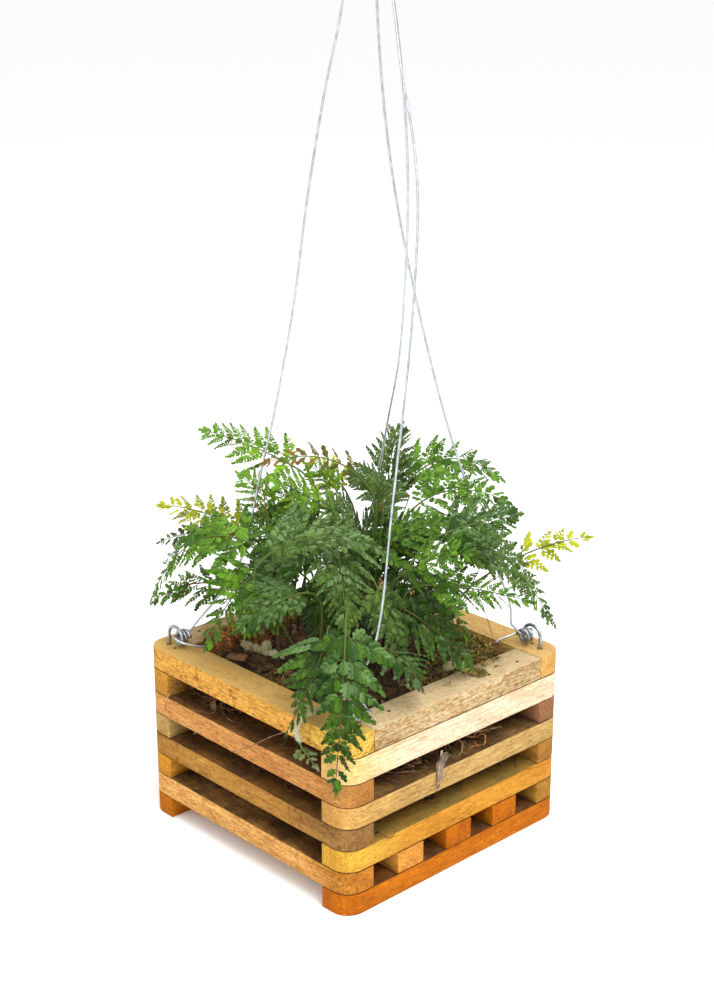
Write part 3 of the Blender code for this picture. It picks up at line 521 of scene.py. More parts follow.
class Finish:
    """A procedural material, built node by node."""

    def __init__(self, name, roughness=0.6, metallic=0.0, gloss=0.2):
        self.material = bpy.data.materials.new(name)
        self.material.use_nodes = True
        self.nodes = self.material.node_tree.nodes
        self.links = self.material.node_tree.links
        self.shader = self.nodes["Principled BSDF"]
        self.shader.inputs["Roughness"].default_value = roughness
        self.shader.inputs["Specular IOR Level"].default_value = gloss
        self.shader.inputs["Metallic"].default_value = metallic

    def connect(self, value, socket):
        if isinstance(value, bpy.types.NodeSocket):
            self.links.new(value, socket)
        elif hasattr(value, "__len__") and len(value) == 3 and socket.type == "RGBA":
            socket.default_value = (*value, 1)
        else:
            socket.default_value = value

    def place(self, scale=(1, 1, 1), location=(0, 0, 0), rotation=(0, 0, 0), source=None):
        node = self.nodes.new("ShaderNodeMapping")
        if source is None:
            source = self.nodes.new("ShaderNodeTexCoord").outputs["Object"]
        self.links.new(source, node.inputs["Vector"])
        node.inputs["Scale"].default_value = scale
        node.inputs["Location"].default_value = location
        node.inputs["Rotation"].default_value = rotation
        return node.outputs["Vector"]

    def noise(self, vector, scale=1.0, detail=4.0, roughness=0.55, distortion=0.0):
        node = self.nodes.new("ShaderNodeTexNoise")
        self.links.new(vector, node.inputs["Vector"])
        node.inputs["Scale"].default_value = scale
        node.inputs["Detail"].default_value = detail
        node.inputs["Roughness"].default_value = roughness
        node.inputs["Distortion"].default_value = distortion
        return node.outputs["Fac"]

    def wave(self, vector, kind, distortion, detail_scale, detail=3.0):
        node = self.nodes.new("ShaderNodeTexWave")
        node.wave_type = kind
        if kind == "RINGS":
            node.rings_direction = "X"
        self.links.new(vector, node.inputs["Vector"])
        node.inputs["Scale"].default_value = 1.0
        node.inputs["Distortion"].default_value = distortion
        node.inputs["Detail"].default_value = detail
        node.inputs["Detail Scale"].default_value = detail_scale
        return node.outputs["Fac"]

    def ramp(self, value, stops):
        """Maps a value to a grey level through (position, level) stops."""
        node = self.nodes.new("ShaderNodeValToRGB")
        self.links.new(value, node.inputs["Fac"])
        ramp = node.color_ramp
        while len(ramp.elements) < len(stops):
            ramp.elements.new(1.0)
        for element, (position, level) in zip(ramp.elements, stops):
            element.position = position
            element.color = (level, level, level, 1)
        return node.outputs["Color"]

    def calc(self, operation, first, second=0.0, third=0.0, clamp=False):
        node = self.nodes.new("ShaderNodeMath")
        node.operation = operation
        node.use_clamp = clamp
        for value, socket in zip((first, second, third), node.inputs):
            self.connect(value, socket)
        return node.outputs["Value"]

    def mix(self, factor, first, second, blend="MIX"):
        node = self.nodes.new("ShaderNodeMix")
        node.data_type = "RGBA"
        node.blend_type = blend
        self.connect(factor, node.inputs[0])
        self.connect(first, node.inputs[6])
        self.connect(second, node.inputs[7])
        return node.outputs[2]

    def split(self, vector):
        node = self.nodes.new("ShaderNodeSeparateXYZ")
        self.links.new(vector, node.inputs["Vector"])
        return node.outputs

    def normal(self):
        """The surface's normal, split into its three axes."""
        return self.split(self.nodes.new("ShaderNodeNewGeometry").outputs["Normal"])

    def attribute(self, name):
        node = self.nodes.new("ShaderNodeAttribute")
        node.attribute_name = name
        return node.outputs["Fac"]

    def bump(self, height, distance, strength=1.0):
        node = self.nodes.new("ShaderNodeBump")
        node.inputs["Strength"].default_value = strength
        node.inputs["Distance"].default_value = distance
        self.links.new(height, node.inputs["Height"])
        self.links.new(node.outputs["Normal"], self.shader.inputs["Normal"])

    def colour(self, value):
        self.connect(value, self.shader.inputs["Base Color"])

    def roughness(self, value):
        self.connect(value, self.shader.inputs["Roughness"])


def scaled(colour, share):
    return tuple(min(1.0, channel * share) for channel in colour)


def wood_finish(
    name, tone, turn, seed, near=None, spots=0.3, saw=0.4, flecks=0.5, dirt=0.95, rough=0.3,
    dusty=(0.125, 0.062, 0.024),
):
    """Sawn hardwood, with its grain along the slat. Turn is a quarter turn for side slats, and
    near is the tone of the slat's end at the front right corner. The dust and shade tone covers
    its upper face: dust that lies there and, on the slat tops that show in the gaps between
    layers, painted shade."""
    finish = Finish(name, gloss=0.08)
    draw = random.Random(seed)
    start = [draw.uniform(-2, 2) for _ in range(3)]
    grain = finish.place(rotation=(0, 0, -math.pi / 2 if turn else 0))

    def pattern(along, across, detail, roughness=0.6, distortion=0.0):
        stretched = finish.place((along, across, across), start, source=grain)
        return finish.noise(stretched, 1.0, detail, roughness, distortion)

    def share(value, low, high, amount):
        return finish.calc("MULTIPLY", finish.ramp(value, [(low, 0), (high, 1)]), amount)

    clouds = pattern(16, 60, 5, 0.65, 0.8)
    colour = tone
    if near:
        place = finish.split(finish.place())
        along = finish.calc("MULTIPLY", place["Y" if turn else "X"], -6.5 if turn else 6.5)
        along = finish.calc("MULTIPLY_ADD", clouds, 0.35, along)
        colour = finish.mix(share(along, 0.38, 0.62, 1.0), tone, near)
    log = (0.0, draw.uniform(0.03, 0.07), draw.uniform(-0.05, 0.05))
    ringed = finish.place((9, 130, 130), [c * 130 for c in log], source=grain)
    rings = finish.wave(ringed, "RINGS", 6.0, 0.4)
    fibre = pattern(95, 1200, 6, 0.7)
    streaks = pattern(120, 800, 5)
    fuzz = pattern(520, 760, 4, 0.7)
    pores = pattern(260, 1900, 3)
    dashes = pattern(300, 1150, 5, 0.65)
    specks = pattern(260, 380, 4, 0.6)
    stains = pattern(45, 95, 5, 0.6, 1.0)
    low = 0.62 - 0.07 * spots
    normal = finish.normal()
    ends = finish.calc("ABSOLUTE", normal["Y" if turn else "X"])
    for value, none, full, amount, stain in (
        (clouds, 0.38, 0.66, 1.0, (0.74, 0.68, 0.60)),
        (rings, 0.4, 0.95, 0.3, (0.74, 0.62, 0.48)),
        (fibre, 0.50, 0.66, 0.75, (0.62, 0.48, 0.35)),
        (streaks, 0.52, 0.66, 0.7, (1.35, 1.35, 1.40)),
        (fuzz, 0.48, 0.62, 0.5, (0.72, 0.60, 0.46)),
        (pores, 0.57, 0.65, flecks, (0.42, 0.30, 0.22)),
        (dashes, 0.50, 0.58, rough, (0.72, 0.50, 0.26)),
        (specks, low, low + 0.05, spots, (0.40, 0.24, 0.13)),
        (stains, 0.56, 0.70, spots, (0.42, 0.26, 0.16)),
        (ends, 0.80, 0.97, 0.5, (0.72, 0.62, 0.50)),
    ):
        colour = finish.mix(share(value, none, full, amount), colour, stain, "MULTIPLY")
    # Dust on the upper faces, and painted shade on the slat tops that show in the gaps between layers, where
    # the slat above shades them.
    grit = pattern(190, 260, 6, 0.75)
    dark = scaled(dusty, 0.25 + 2 * dusty[1])
    dust = finish.mix(share(grit, 0.38, 0.66, 1.0), dark, dusty)
    cover = finish.calc("MULTIPLY_ADD", pattern(50, 80, 5, 0.65), 1.6, 0.1, clamp=True)
    cover = finish.calc("MULTIPLY", share(normal["Z"], 0.6, 0.95, dirt), cover)
    colour = finish.mix(cover, colour, dust)
    finish.colour(colour)
    finish.roughness(finish.calc("MULTIPLY_ADD", fibre, -0.2, 0.85))
    sawn = finish.wave(
        finish.place((700, 60, 90), start, (0, 0.25, 0.2), source=grain), "BANDS", 7.0, 0.5
    )
    height = finish.calc("MULTIPLY_ADD", sawn, saw, fibre)
    height = finish.calc("MULTIPLY_ADD", pores, -0.8, height)
    height = finish.calc("MULTIPLY_ADD", fuzz, -0.9, height)
    height = finish.calc("MULTIPLY_ADD", dashes, -1.2 * rough, height)
    finish.bump(height, 0.5 * MM, 0.9)
    return finish.material


def zinc_finish(name, tone):
    """Dull galvanised wire with a faint bloom and drawing marks."""
    finish = Finish(name, 0.38, 1.0)
    cloud = finish.noise(finish.place(), 260, 5, 0.6)
    clouded = finish.ramp(cloud, [(0.35, 0), (0.7, 1)])
    colour = finish.mix(clouded, scaled(tone, 0.78), scaled(tone, 1.25))
    finish.colour(colour)
    finish.roughness(finish.calc("MULTIPLY_ADD", cloud, 0.35, 0.2))
    finish.bump(finish.noise(finish.place(), 1600, 2), 0.03 * MM, 0.4)
    return finish.material


def leaf_finish(name, tone, tip_tone=None, painted_sheen=0.0):
    """Leathery leaflet with a sunk midrib, darkened there by painted shade, slanting veins and its own tone
    of green, with painted shade that deepens it towards the heart of the plant. Painted sheen is the
    greyish highlight painted on the upper faces of an old one."""
    finish = Finish(name, gloss=0.12)
    shade, age = finish.attribute("shade"), finish.attribute("age")
    uv = finish.nodes.new("ShaderNodeUVMap")
    uv.uv_map = "leaf"
    corner = finish.split(uv.outputs["UV"])
    out = finish.calc("ABSOLUTE", finish.calc("MULTIPLY_ADD", corner["Y"], 2, -1))
    midrib = finish.ramp(out, [(0.0, 1), (0.16, 0)])
    slant = finish.calc("MULTIPLY_ADD", out, -0.32, corner["X"])
    wave = finish.calc("SINE", finish.calc("MULTIPLY", slant, 34))
    veins = finish.ramp(finish.calc("MULTIPLY_ADD", wave, 0.5, 0.5), [(0.80, 0), (1.0, 1)])
    fine = finish.noise(finish.place(), 900, 4, 0.6)
    broad = finish.noise(finish.place(), 60, 3, 0.5)
    light = (tone[0] * 2.1 + 0.006, tone[1] * 1.6 + 0.008, tone[2] * 1.8 + 0.002)
    lightness = finish.calc("MULTIPLY_ADD", shade, 1.1, -0.98)
    lightness = finish.calc("MULTIPLY_ADD", broad, 1.7, lightness, clamp=True)
    colour = finish.mix(lightness, scaled(tone, 0.42), light)
    # Painted shade: leaves darken towards the heart of the plant, where the crown shades them.
    reach = finish.nodes.new("ShaderNodeVectorMath")
    reach.operation = "LENGTH"
    finish.links.new(finish.place((13, 13, 13), (0, 0, -1.55)), reach.inputs[0])
    painted_heart_shade = finish.ramp(reach.outputs["Value"], [(0.25, 1), (0.85, 0)])
    colour = finish.mix(finish.calc("MULTIPLY", painted_heart_shade, 0.6), colour, (0.40, 0.44, 0.40), "MULTIPLY")
    if tip_tone:
        colour = finish.mix(finish.ramp(age, [(0.25, 0), (0.95, 1)]), colour, tip_tone)
    colour = finish.mix(finish.calc("MULTIPLY", veins, 0.25), colour, scaled(light, 1.3))
    mottle = finish.calc("MULTIPLY", finish.ramp(fine, [(0.35, 1), (0.6, 0)]), 0.3)
    colour = finish.mix(mottle, colour, scaled(tone, 0.5))
    # Painted sheen: a greyish highlight on the faces that look upward.
    if painted_sheen:
        upward = finish.calc("MULTIPLY_ADD", fine, 0.5, finish.normal()["Z"])
        sheen_mask = finish.ramp(upward, [(0.85, 0), (1.0, 1)])
        sheen_mask = finish.calc("MULTIPLY", finish.calc("MULTIPLY", sheen_mask, painted_sheen), shade)
        colour = finish.mix(sheen_mask, colour, (0.20, 0.29, 0.16))
    # Painted shade: darker along the sunk midrib, where its crease is shaded.
    colour = finish.mix(finish.calc("MULTIPLY", midrib, 0.7), colour, scaled(tone, 0.4))
    finish.colour(colour)
    finish.roughness(finish.calc("MULTIPLY_ADD", fine, 0.3, 0.3))
    height = finish.calc("SUBTRACT", finish.calc("MULTIPLY", veins, 0.5), midrib)
    height = finish.calc("MULTIPLY_ADD", fine, 0.5, height)
    finish.bump(height, 0.2 * MM, 0.7)
    return finish.material


def stem_finish(name, foot, top):
    """A stalk that turns from one colour at its foot to another along its age."""
    finish = Finish(name, 0.5)
    grain = finish.noise(finish.place((300, 300, 60)), 1.0, 4)
    colour = finish.mix(finish.ramp(finish.attribute("age"), [(0.0, 0), (0.8, 1)]), foot, top)
    colour = finish.mix(finish.calc("MULTIPLY", grain, 0.4), colour, scaled(foot, 0.6))
    finish.colour(colour)
    finish.bump(grain, 0.1 * MM, 0.5)
    return finish.material


def mix_finish(name, dark, light):
    """Crumbly matter that varies from crumb to crumb."""
    finish = Finish(name, 0.9)
    crumbs = finish.noise(finish.place(), 260, 6, 0.7, 0.8)
    lumps = finish.noise(finish.place(), 52, 3, 0.6)
    colour = finish.mix(finish.ramp(crumbs, [(0.36, 0), (0.66, 1)]), dark, light)
    colour = finish.mix(finish.ramp(lumps, [(0.3, 0.75), (0.62, 0)]), colour, scaled(dark, 0.5))
    finish.colour(colour)
    finish.bump(crumbs, 1.2 * MM, 0.9)
    return finish.material


def fibre_finish(name, dark, light):
    """Dry plant fibre whose colour changes from strand to strand."""
    finish = Finish(name, 0.75)
    strand = finish.noise(finish.place(), 150, 2, 0.4)
    fine = finish.noise(finish.place(), 1400, 3, 0.6)
    colour = finish.mix(finish.ramp(strand, [(0.38, 0), (0.62, 1)]), dark, light)
    colour = finish.mix(finish.calc("MULTIPLY", fine, 0.4), colour, scaled(dark, 0.6))
    finish.colour(colour)
    finish.bump(fine, 0.06 * MM, 0.5)
    return finish.material


def shaded_finish(name, dark, light):
    """Dry or mossy bits, each with its own shade."""
    finish = Finish(name, 0.8)
    fine = finish.noise(finish.place(), 900, 4, 0.65)
    colour = finish.mix(finish.attribute("shade"), dark, light)
    colour = finish.mix(finish.calc("MULTIPLY", fine, 0.55), colour, scaled(dark, 0.5))
    finish.colour(colour)
    finish.bump(fine, 0.12 * MM, 0.7)
    return finish.material


# Copies of one modelled shape


def model_leaflet(name, edge, midrib):
    """A toothed leaflet one unit long, folded at its midrib, with an upper and a lower face."""
    cells = len(edge) - 1
    bpy.ops.object.select_all(action="DESELECT")
    bpy.ops.mesh.primitive_grid_add(x_subdivisions=cells, y_subdivisions=2, size=1)
    obj = named(bpy.context.object, name)
    obj.data.uv_layers[0].name = "leaf"
    for vert in obj.data.vertices:
        station = round((vert.co.x + 0.5) * cells)
        row = round(vert.co.y * 2)
        x, half = edge[station] if row else (midrib[station], 0.0)
        vert.co = (x, row * half / 2, -0.10 * x**2 - (0.10 * half if row else 0.0))
    with edit_mode():
        bpy.ops.mesh.duplicate()
        bpy.ops.mesh.flip_normals()
    for vert in obj.data.vertices:
        if vert.select and abs(vert.co.y) < 0.001 and 0.01 < vert.co.x < 0.99:
            vert.co.z -= 0.05
    with edit_mode():
        bpy.ops.mesh.remove_doubles(threshold=0.001)
    return take_template(obj)


def take_template(obj):
    """The points, faces and corner UVs of a modelled shape, which is then removed."""
    mesh = obj.data
    points = np.array([vert.co for vert in mesh.vertices])
    faces = [tuple(face.vertices) for face in mesh.polygons]
    corners = np.zeros((len(mesh.loops), 2))
    if mesh.uv_layers:
        corners = np.array([corner.uv for corner in mesh.uv_layers[0].data])
    bpy.data.objects.remove(obj)
    return points, faces, corners


class Bed:
    """Copies of modelled shapes, gathered until they are made one mesh."""

    def __init__(self):
        self.rows = {}

    def add(self, template, matrix, shade=0.5, age=0.0):
        self.rows.setdefault(id(template), (template, []))[1].append((matrix, shade, age))

    def make(self, name):
        points, faces, corners, shades, ages = [], [], [], [], []
        count = 0
        for (shape, shape_faces, uv), rows in self.rows.values():
            matrices = np.array([row[0] for row in rows])
            placed = np.einsum("kij,nj->kni", matrices[:, :3, :3], shape) + matrices[:, None, :3, 3]
            points.append(placed.reshape(-1, 3))
            shades.append(np.repeat([row[1] for row in rows], len(shape)))
            ages.append(np.repeat([row[2] for row in rows], len(shape)))
            corners.append(np.tile(uv, (len(rows), 1)))
            for copy in range(len(rows)):
                start = count + copy * len(shape)
                faces += [tuple(start + i for i in face) for face in shape_faces]
            count += len(rows) * len(shape)
        mesh = bpy.data.meshes.new(name)
        mesh.from_pydata(np.concatenate(points).tolist(), [], faces)
        mesh.uv_layers.new(name="leaf").data.foreach_set(
            "uv", np.concatenate(corners).astype(np.float32).ravel()
        )
        for label, values in (("shade", shades), ("age", ages)):
            mesh.attributes.new(label, "FLOAT", "POINT").data.foreach_set(
                "value", np.concatenate(values).astype(np.float32)
            )
        mesh.polygons.foreach_set("use_smooth", [False] * len(mesh.polygons))
        obj = bpy.data.objects.new(name, mesh)
        bpy.context.collection.objects.link(obj)
        return obj


def frame_matrix(root, along, across, normal, length, width, depth):
    """A matrix that lays a unit shape along a direction, with its own size each way."""
    matrix = Matrix.Identity(4)
    for column, (axis, size) in enumerate(((along, length), (across, width), (normal, depth))):
        for row in range(3):
            matrix[row][column] = axis[row] * size
    matrix.translation = root
    return matrix


def join_pieces(name, *objs):
    only(*objs)
    bpy.ops.object.join()
    return named(bpy.context.object, name)


def set_age(obj, value):
    """Gives every vertex its age from its place, for meshes made from curves."""
    mesh = obj.data
    ages = [value(vert.co) for vert in mesh.vertices]
    mesh.attributes.new("age", "FLOAT", "POINT").data.foreach_set("value", ages)
    mesh.attributes.new("shade", "FLOAT", "POINT").data.foreach_set("value", [0.5] * len(ages))


# Crate


def soft_block(name, length, width, height, seed, corner_radius, bores):
    """A sawn slat along X with worn edges. Its outer corners, at -Y, may be rounded."""
    crate = bpy.context.scene.fern_crate
    bpy.ops.object.select_all(action="DESELECT")
    bpy.ops.mesh.primitive_cube_add(size=1, scale=(length, width, height))
    obj = named(bpy.context.object, name)
    bpy.ops.object.transform_apply(location=True, rotation=True, scale=True)
    if corner_radius:
        edit_edges(obj, lambda a, b: a.y < 0 and b.y < 0 and abs(a.z - b.z) > height / 2)
        bpy.ops.mesh.bevel(offset=corner_radius, segments=10, profile=0.5, affect="EDGES")
        bpy.ops.object.mode_set(mode="OBJECT")
    only(obj)
    with edit_mode():
        for number in range(1, SLAT_STATIONS):
            bpy.ops.mesh.select_all(action="SELECT")
            x = length * (number / SLAT_STATIONS - 0.5)
            bpy.ops.mesh.bisect(plane_co=(x, 0, 0), plane_no=(1, 0, 0))
    for bore in bores:
        bpy.ops.mesh.primitive_cylinder_add(
            vertices=24, radius=BORE_RADIUS, depth=height * 2, location=(bore, 0, 0)
        )
        cutter = bpy.context.object
        hole = obj.modifiers.new("bore", "BOOLEAN")
        hole.object = cutter
        apply_modifiers(obj)
        bpy.data.objects.remove(cutter)
    bevel = obj.modifiers.new("worn edges", "BEVEL")
    bevel.width = crate.edge_softness
    bevel.segments = 2
    bevel.limit_method = "ANGLE"
    bevel.angle_limit = math.radians(WORN_ANGLE)
    apply_modifiers(obj)
    wander(obj, crate.unevenness, seed)
    bpy.ops.object.shade_smooth_by_angle(angle=math.radians(32))
    return obj


def wander(obj, reach, seed):
    """Moves every vertex a little, by smooth noise of its place."""
    noise.seed_set(NOISE_SEED)
    start = Vector((seed * 3.1, seed * 1.7, seed * 0.9))
    for vert in obj.data.vertices:
        slow = noise.noise_vector(vert.co * 28 + start)
        quick = noise.noise_vector(vert.co * 170 + start)
        vert.co += (slow + quick * 0.6) * reach


def turn_to_side(obj, turn, outward, height):
    angle = math.radians(turn)
    place = Vector((outward * math.sin(angle), -outward * math.cos(angle), height))
    obj.data.transform(Matrix.Translation(place) @ Matrix.Rotation(angle, 4, "Z"))


def wood_of(name, wood, side_on, seed, tone=None, **details):
    tone = tone or tuple(getattr(bpy.context.scene.fern_crate, wood))
    draw = random.Random(seed * 7)
    tone = tuple(channel * draw.uniform(0.93, 1.07) for channel in tone)
    return wood_finish(name + "_finish", tone, side_on, seed, **details)


# What sets single slats apart: their own tones, and how stained and rough they are.
SLAT_DETAILS = {
    "slat_8_front": {"near": (0.92, 0.66, 0.13), "spots": 0.7, "dirt": 0.8, "rough": 0.7,
                     "dusty": (0.60, 0.40, 0.13)},
    "slat_8_back": {"tone": (0.78, 0.50, 0.16), "spots": 0.3, "dirt": 0.5, "rough": 0.5,
                    "dusty": (0.64, 0.42, 0.17)},
    "slat_7_right": {"near": (0.93, 0.68, 0.28), "spots": 0.1, "flecks": 0.25, "rough": 0.25},
    "slat_7_left": {"tone": (0.66, 0.33, 0.05), "spots": 0.4},
    "slat_6_front": {"near": (0.50, 0.25, 0.07), "spots": 0.25, "flecks": 0.8, "rough": 0.5},
    "slat_6_back": {"tone": (0.34, 0.20, 0.09)},
    "slat_5_right": {"near": (0.66, 0.40, 0.12), "spots": 0.15, "flecks": 0.7},
    "slat_4_front": {"near": (0.33, 0.19, 0.065), "spots": 0.5, "rough": 0.4},
    "slat_3_right": {"near": (0.80, 0.50, 0.07), "spots": 0.2, "dusty": (0.25, 0.18, 0.045)},
    "slat_2_front": {"tone": (0.98, 0.62, 0.20), "near": (0.66, 0.29, 0.045), "spots": 0.4,
                     "saw": 0.8, "flecks": 0.8, "rough": 0.6},
    "slat_2_back": {"tone": (0.46, 0.26, 0.05)},
    "slat_1_right": {"spots": 0.2, "rough": 0.4},
}


class FERNCRATE_OT_slats(Operator):
    """Builds the crossed layers of side slats"""

    bl_idname = "fern_crate.slats"
    bl_label = "Side Slats"

    def execute(self, context):
        radius = context.scene.fern_crate.corner_radius
        for layer, height in enumerate(LAYER_HEIGHTS):
            along_x = layer % 2 == 1
            sides = (("front", 0), ("back", 180)) if along_x else (("right", 90), ("left", 270))
            for side, turn in sides:
                node = f"slat_{layer + 1}_{side}"
                seed = layer * 10 + turn // 90
                obj = soft_block(
                    node + "_wood", SIDE, SLAT_WIDTH, height - GAP, seed, radius,
                    (-ROD_PLACE, ROD_PLACE),
                )
                turn_to_side(obj, turn, ROD_PLACE, layer_floor(layer) + (height - GAP) / 2)
                wood = LAYER_WOODS[layer]
                finish = wood_of(node, wood, not along_x, seed, **SLAT_DETAILS.get(node, {}))
                put(obj, finish, "wood_" + wood, node)
        return {"FINISHED"}


class FERNCRATE_OT_fillers(Operator):
    """Builds the floor slats and the short slats that level the rim"""

    bl_idname = "fern_crate.fillers"
    bl_label = "Floor and Filler Slats"

    def execute(self, context):
        height = LAYER_HEIGHTS[1] - GAP
        spacing = 2 * ROD_PLACE / (FLOOR_SLATS + 1)
        for number in range(FLOOR_SLATS):
            node = f"floor_slat_{number + 1}"
            obj = soft_block(node + "_wood", SIDE, SLAT_WIDTH, height, 90 + number, 0, ())
            outward = ROD_PLACE - spacing * (number + 1)
            turn_to_side(obj, 0, outward, layer_floor(1) + height / 2)
            wood = ("tan", "orange", "orange")[number]
            tone = (0.80, 0.46, 0.09) if number == 0 else None
            finish = wood_of(node, wood, False, 90 + number, tone, saw=0.9, rough=0.5)
            put(obj, finish, "wood_orange", node)
        height = LAYER_HEIGHTS[-1] - GAP
        for side, turn in (("right", 90), ("left", 270)):
            node = f"filler_{side}"
            obj = soft_block(
                node + "_wood", 2 * (INSIDE - GAP), SLAT_WIDTH, height, 95 + turn, 0, ()
            )
            turn_to_side(obj, turn, ROD_PLACE, layer_floor(len(LAYER_HEIGHTS) - 1) + height / 2)
            tone = None if side == "right" else (0.60, 0.34, 0.12)
            finish = wood_of(
                node, "pale", True, 95 + turn, tone, spots=0.3, saw=0.8, flecks=0.7, dirt=0.6,
                rough=1.0, dusty=(0.82, 0.58, 0.33),
            )
            put(obj, finish, "wood_tan", node)
        return {"FINISHED"}


# Wires


def corner_place(turn, along, coil, height):
    """A place by the rod of the front right corner, turned to the other corners: the eye's
    arch runs along +Y there and its coil along -X."""
    place = Vector((ROD_PLACE - coil, -ROD_PLACE + along, RIM + height))
    return Matrix.Rotation(math.radians(90 * turn), 3, "Z") @ place


def rod_points(turn):
    """A rod from its bent lower end, up its bore and over the arch into its coiled eye."""
    foot = Vector((ROD_PLACE, -ROD_PLACE, CLINCH_DEPTH / 2))
    bend = Vector((-1, 0, 0)) if turn % 2 else Vector((0, 1, 0))
    start = [foot + bend * CLINCH_LENGTH, foot + bend * CLINCH_BEND]
    start += [foot + (bend + UP) * CLINCH_BEND * 0.3, foot + UP * CLINCH_BEND]
    points = [Matrix.Rotation(math.radians(90 * turn), 3, "Z") @ point for point in start]
    for step in range(ARCH_STEPS):
        angle = math.pi * (1 - step / ARCH_STEPS)
        points.append(corner_place(
            turn, ARCH_RADIUS * (1 + math.cos(angle)), 0, EYE_HEIGHT + ARCH_RADIUS * math.sin(angle)
        ))
    for step in range(EYE_TURNS * COIL_STEPS + 1):
        angle = -2 * math.pi * step / COIL_STEPS
        points.append(corner_place(
            turn,
            2 * ARCH_RADIUS - EYE_RADIUS * (1 - math.cos(angle)),
            EYE_PITCH * step / COIL_STEPS,
            EYE_HEIGHT + EYE_RADIUS * math.sin(angle),
        ))
    return points


def wire_points(corner, turn):
    outward = Matrix.Rotation(math.radians(90 * turn - 45), 3, "Z") @ Vector((1, 0, 0))
    aside = TOWARD if corner in ("front_left", "back_right") else ACROSS
    bundle = APEX + outward * BUNDLE_RADIUS
    top = [bundle + UP * BUNDLE_TOP, bundle + UP * BUNDLE_BOTTOM]
    route = [
        (outward * out + aside * side + UP * height) * MM
        for out, side, height in WIRE_ROUTES[corner]
    ]
    end = [corner_place(turn, *(Vector(place) * MM)) for place in WIRE_END]
    hooked = smooth_route(end, 3)
    return [top[0], *smooth_route([top[1], *route, end[0]], 6)[:-1], *hooked]


def hook_points():
    """The hook's tail is wound round the wires, and its shank stands in the bundle."""
    points = []
    for step in range(BINDING_TURNS * BINDING_STEPS + 1):
        angle = 2 * math.pi * step / BINDING_STEPS
        around = Vector((math.sin(angle), -math.cos(angle), 0)) * BINDING_RADIUS
        points.append(around + UP * (BINDING_START - BINDING_PITCH * step / BINDING_STEPS))
    half = BINDING_RADIUS / 2
    turn = Vector((0, -half, BUNDLE_BOTTOM - BINDING_TAIL))
    for step in range(9):
        angle = math.radians(-180 * step / 8)
        points.append(turn + Vector((0, -math.cos(angle), math.sin(angle))) * half)
    points.append(UP * BUNDLE_TOP)
    for step in range(31):
        angle = math.radians(205 - 235 * step / 30)
        around = Vector((math.cos(angle), 0, math.sin(angle))) * HOOK_RADIUS
        points.append(UP * HOOK_HEIGHT + around)
    return [point + APEX for point in points]


class FERNCRATE_OT_wires(Operator):
    """Builds the corner rods with their eyes, the hanger wires and the hook"""

    bl_idname = "fern_crate.wires"
    bl_label = "Rods and Hanger"

    def execute(self, context):
        wires = context.scene.fern_crate_wires
        zinc = zinc_finish("dull_zinc", tuple(wires.zinc))
        bright = zinc_finish("bright_zinc", scaled(tuple(wires.zinc), 1.35))
        for corner, turn in CORNER_TURNS.items():
            rod = tubes(
                f"corner_eye_{corner}", [[(p, ROD_RADIUS) for p in rod_points(turn)]], wires.sides
            )
            put(rod, zinc, "wire", f"corner_rod_{corner}")
            wire = tubes(
                f"hanger_strand_{corner}", [[(p, WIRE_RADIUS) for p in wire_points(corner, turn)]],
                wires.sides,
            )
            put(wire, bright, "wire", f"hanger_wire_{corner}")
        hook = tubes("hanger_top", [[(p, ROD_RADIUS) for p in hook_points()]], wires.sides)
        put(hook, zinc, "wire", "hanger_hook")
        return {"FINISHED"}


# Potting mix


def mix_height(x, y):
    """The top of the mix: level, with mounds and ripples."""
    height = MIX_LEVEL
    for mound_x, mound_y, radius, rise in MOUNDS:
        away = ((x / MM - mound_x) ** 2 + (y / MM - mound_y) ** 2) / radius**2
        height += rise * MM * math.exp(-away)
    ripple = math.sin(x / (7 * MM)) * math.cos(y / (6 * MM)) + math.sin((x + 2 * y) / (5 * MM))
    return height + MIX_RIPPLE * ripple


def on_mix(place, lift=0.0):
    return Vector((place.x, place.y, mix_height(place.x, place.y) + lift))


class FERNCRATE_OT_mix(Operator):
    """Builds the crumbly block of potting mix that fills the crate"""

    bl_idname = "fern_crate.mix"
    bl_label = "Potting Mix"

    def execute(self, context):
        floor = layer_floor(2)
        half = INSIDE - GAP
        bpy.ops.object.select_all(action="DESELECT")
        bpy.ops.mesh.primitive_cube_add(size=1)
        obj = named(bpy.context.object, "potting_mix_bed")
        with edit_mode():
            bpy.ops.mesh.subdivide(number_cuts=MIX_CUTS)
        for vert in obj.data.vertices:
            x, y, rise = vert.co.x * 2 * half, vert.co.y * 2 * half, vert.co.z + 0.5
            top = mix_height(x, y)
            vert.co = (x, y, floor + (top - floor) * rise)
            lumps = noise.fractal(vert.co * 150, 0.9, 2.1, 4)
            wall = max(abs(x), abs(y)) / half
            if rise == 1:
                vert.co.z += (2.2 * lumps - 1.6 * (wall > 0.93)) * MM
            if wall > 0.999:
                vert.co.xy = vert.co.xy * (1 - 0.035 * abs(lumps) - 0.01)
        bpy.ops.object.shade_smooth()
        dark, light = (0.010, 0.006, 0.003), (0.170, 0.092, 0.040)
        put(obj, mix_finish("potting_mix_crumbs", dark, light), "potting_mix", "potting_mix")
        return {"FINISHED"}


# Rhizomes


def rhizome_route(name):
    radius, places = RHIZOMES[name]
    route = smooth_route([diagonal_place(*place) for place in places], 6)
    count = len(route)
    widths = [
        radius * MM * (0.86 + 0.16 * math.sin(step * 1.9)) * min(1, 0.45 + (count - 1 - step) * 0.2)
        for step in range(count)
    ]
    return list(zip(route, widths))


def model_hair():
    bpy.ops.object.select_all(action="DESELECT")
    bpy.ops.mesh.primitive_cone_add(vertices=3, radius1=0.5, depth=1, location=(0, 0, 0.5))
    obj = named(bpy.context.object, "hair_shape")
    bpy.ops.object.transform_apply(location=True, rotation=True, scale=True)
    obj.data.transform(Matrix.Rotation(math.radians(90), 4, "Y"))
    return take_template(obj)


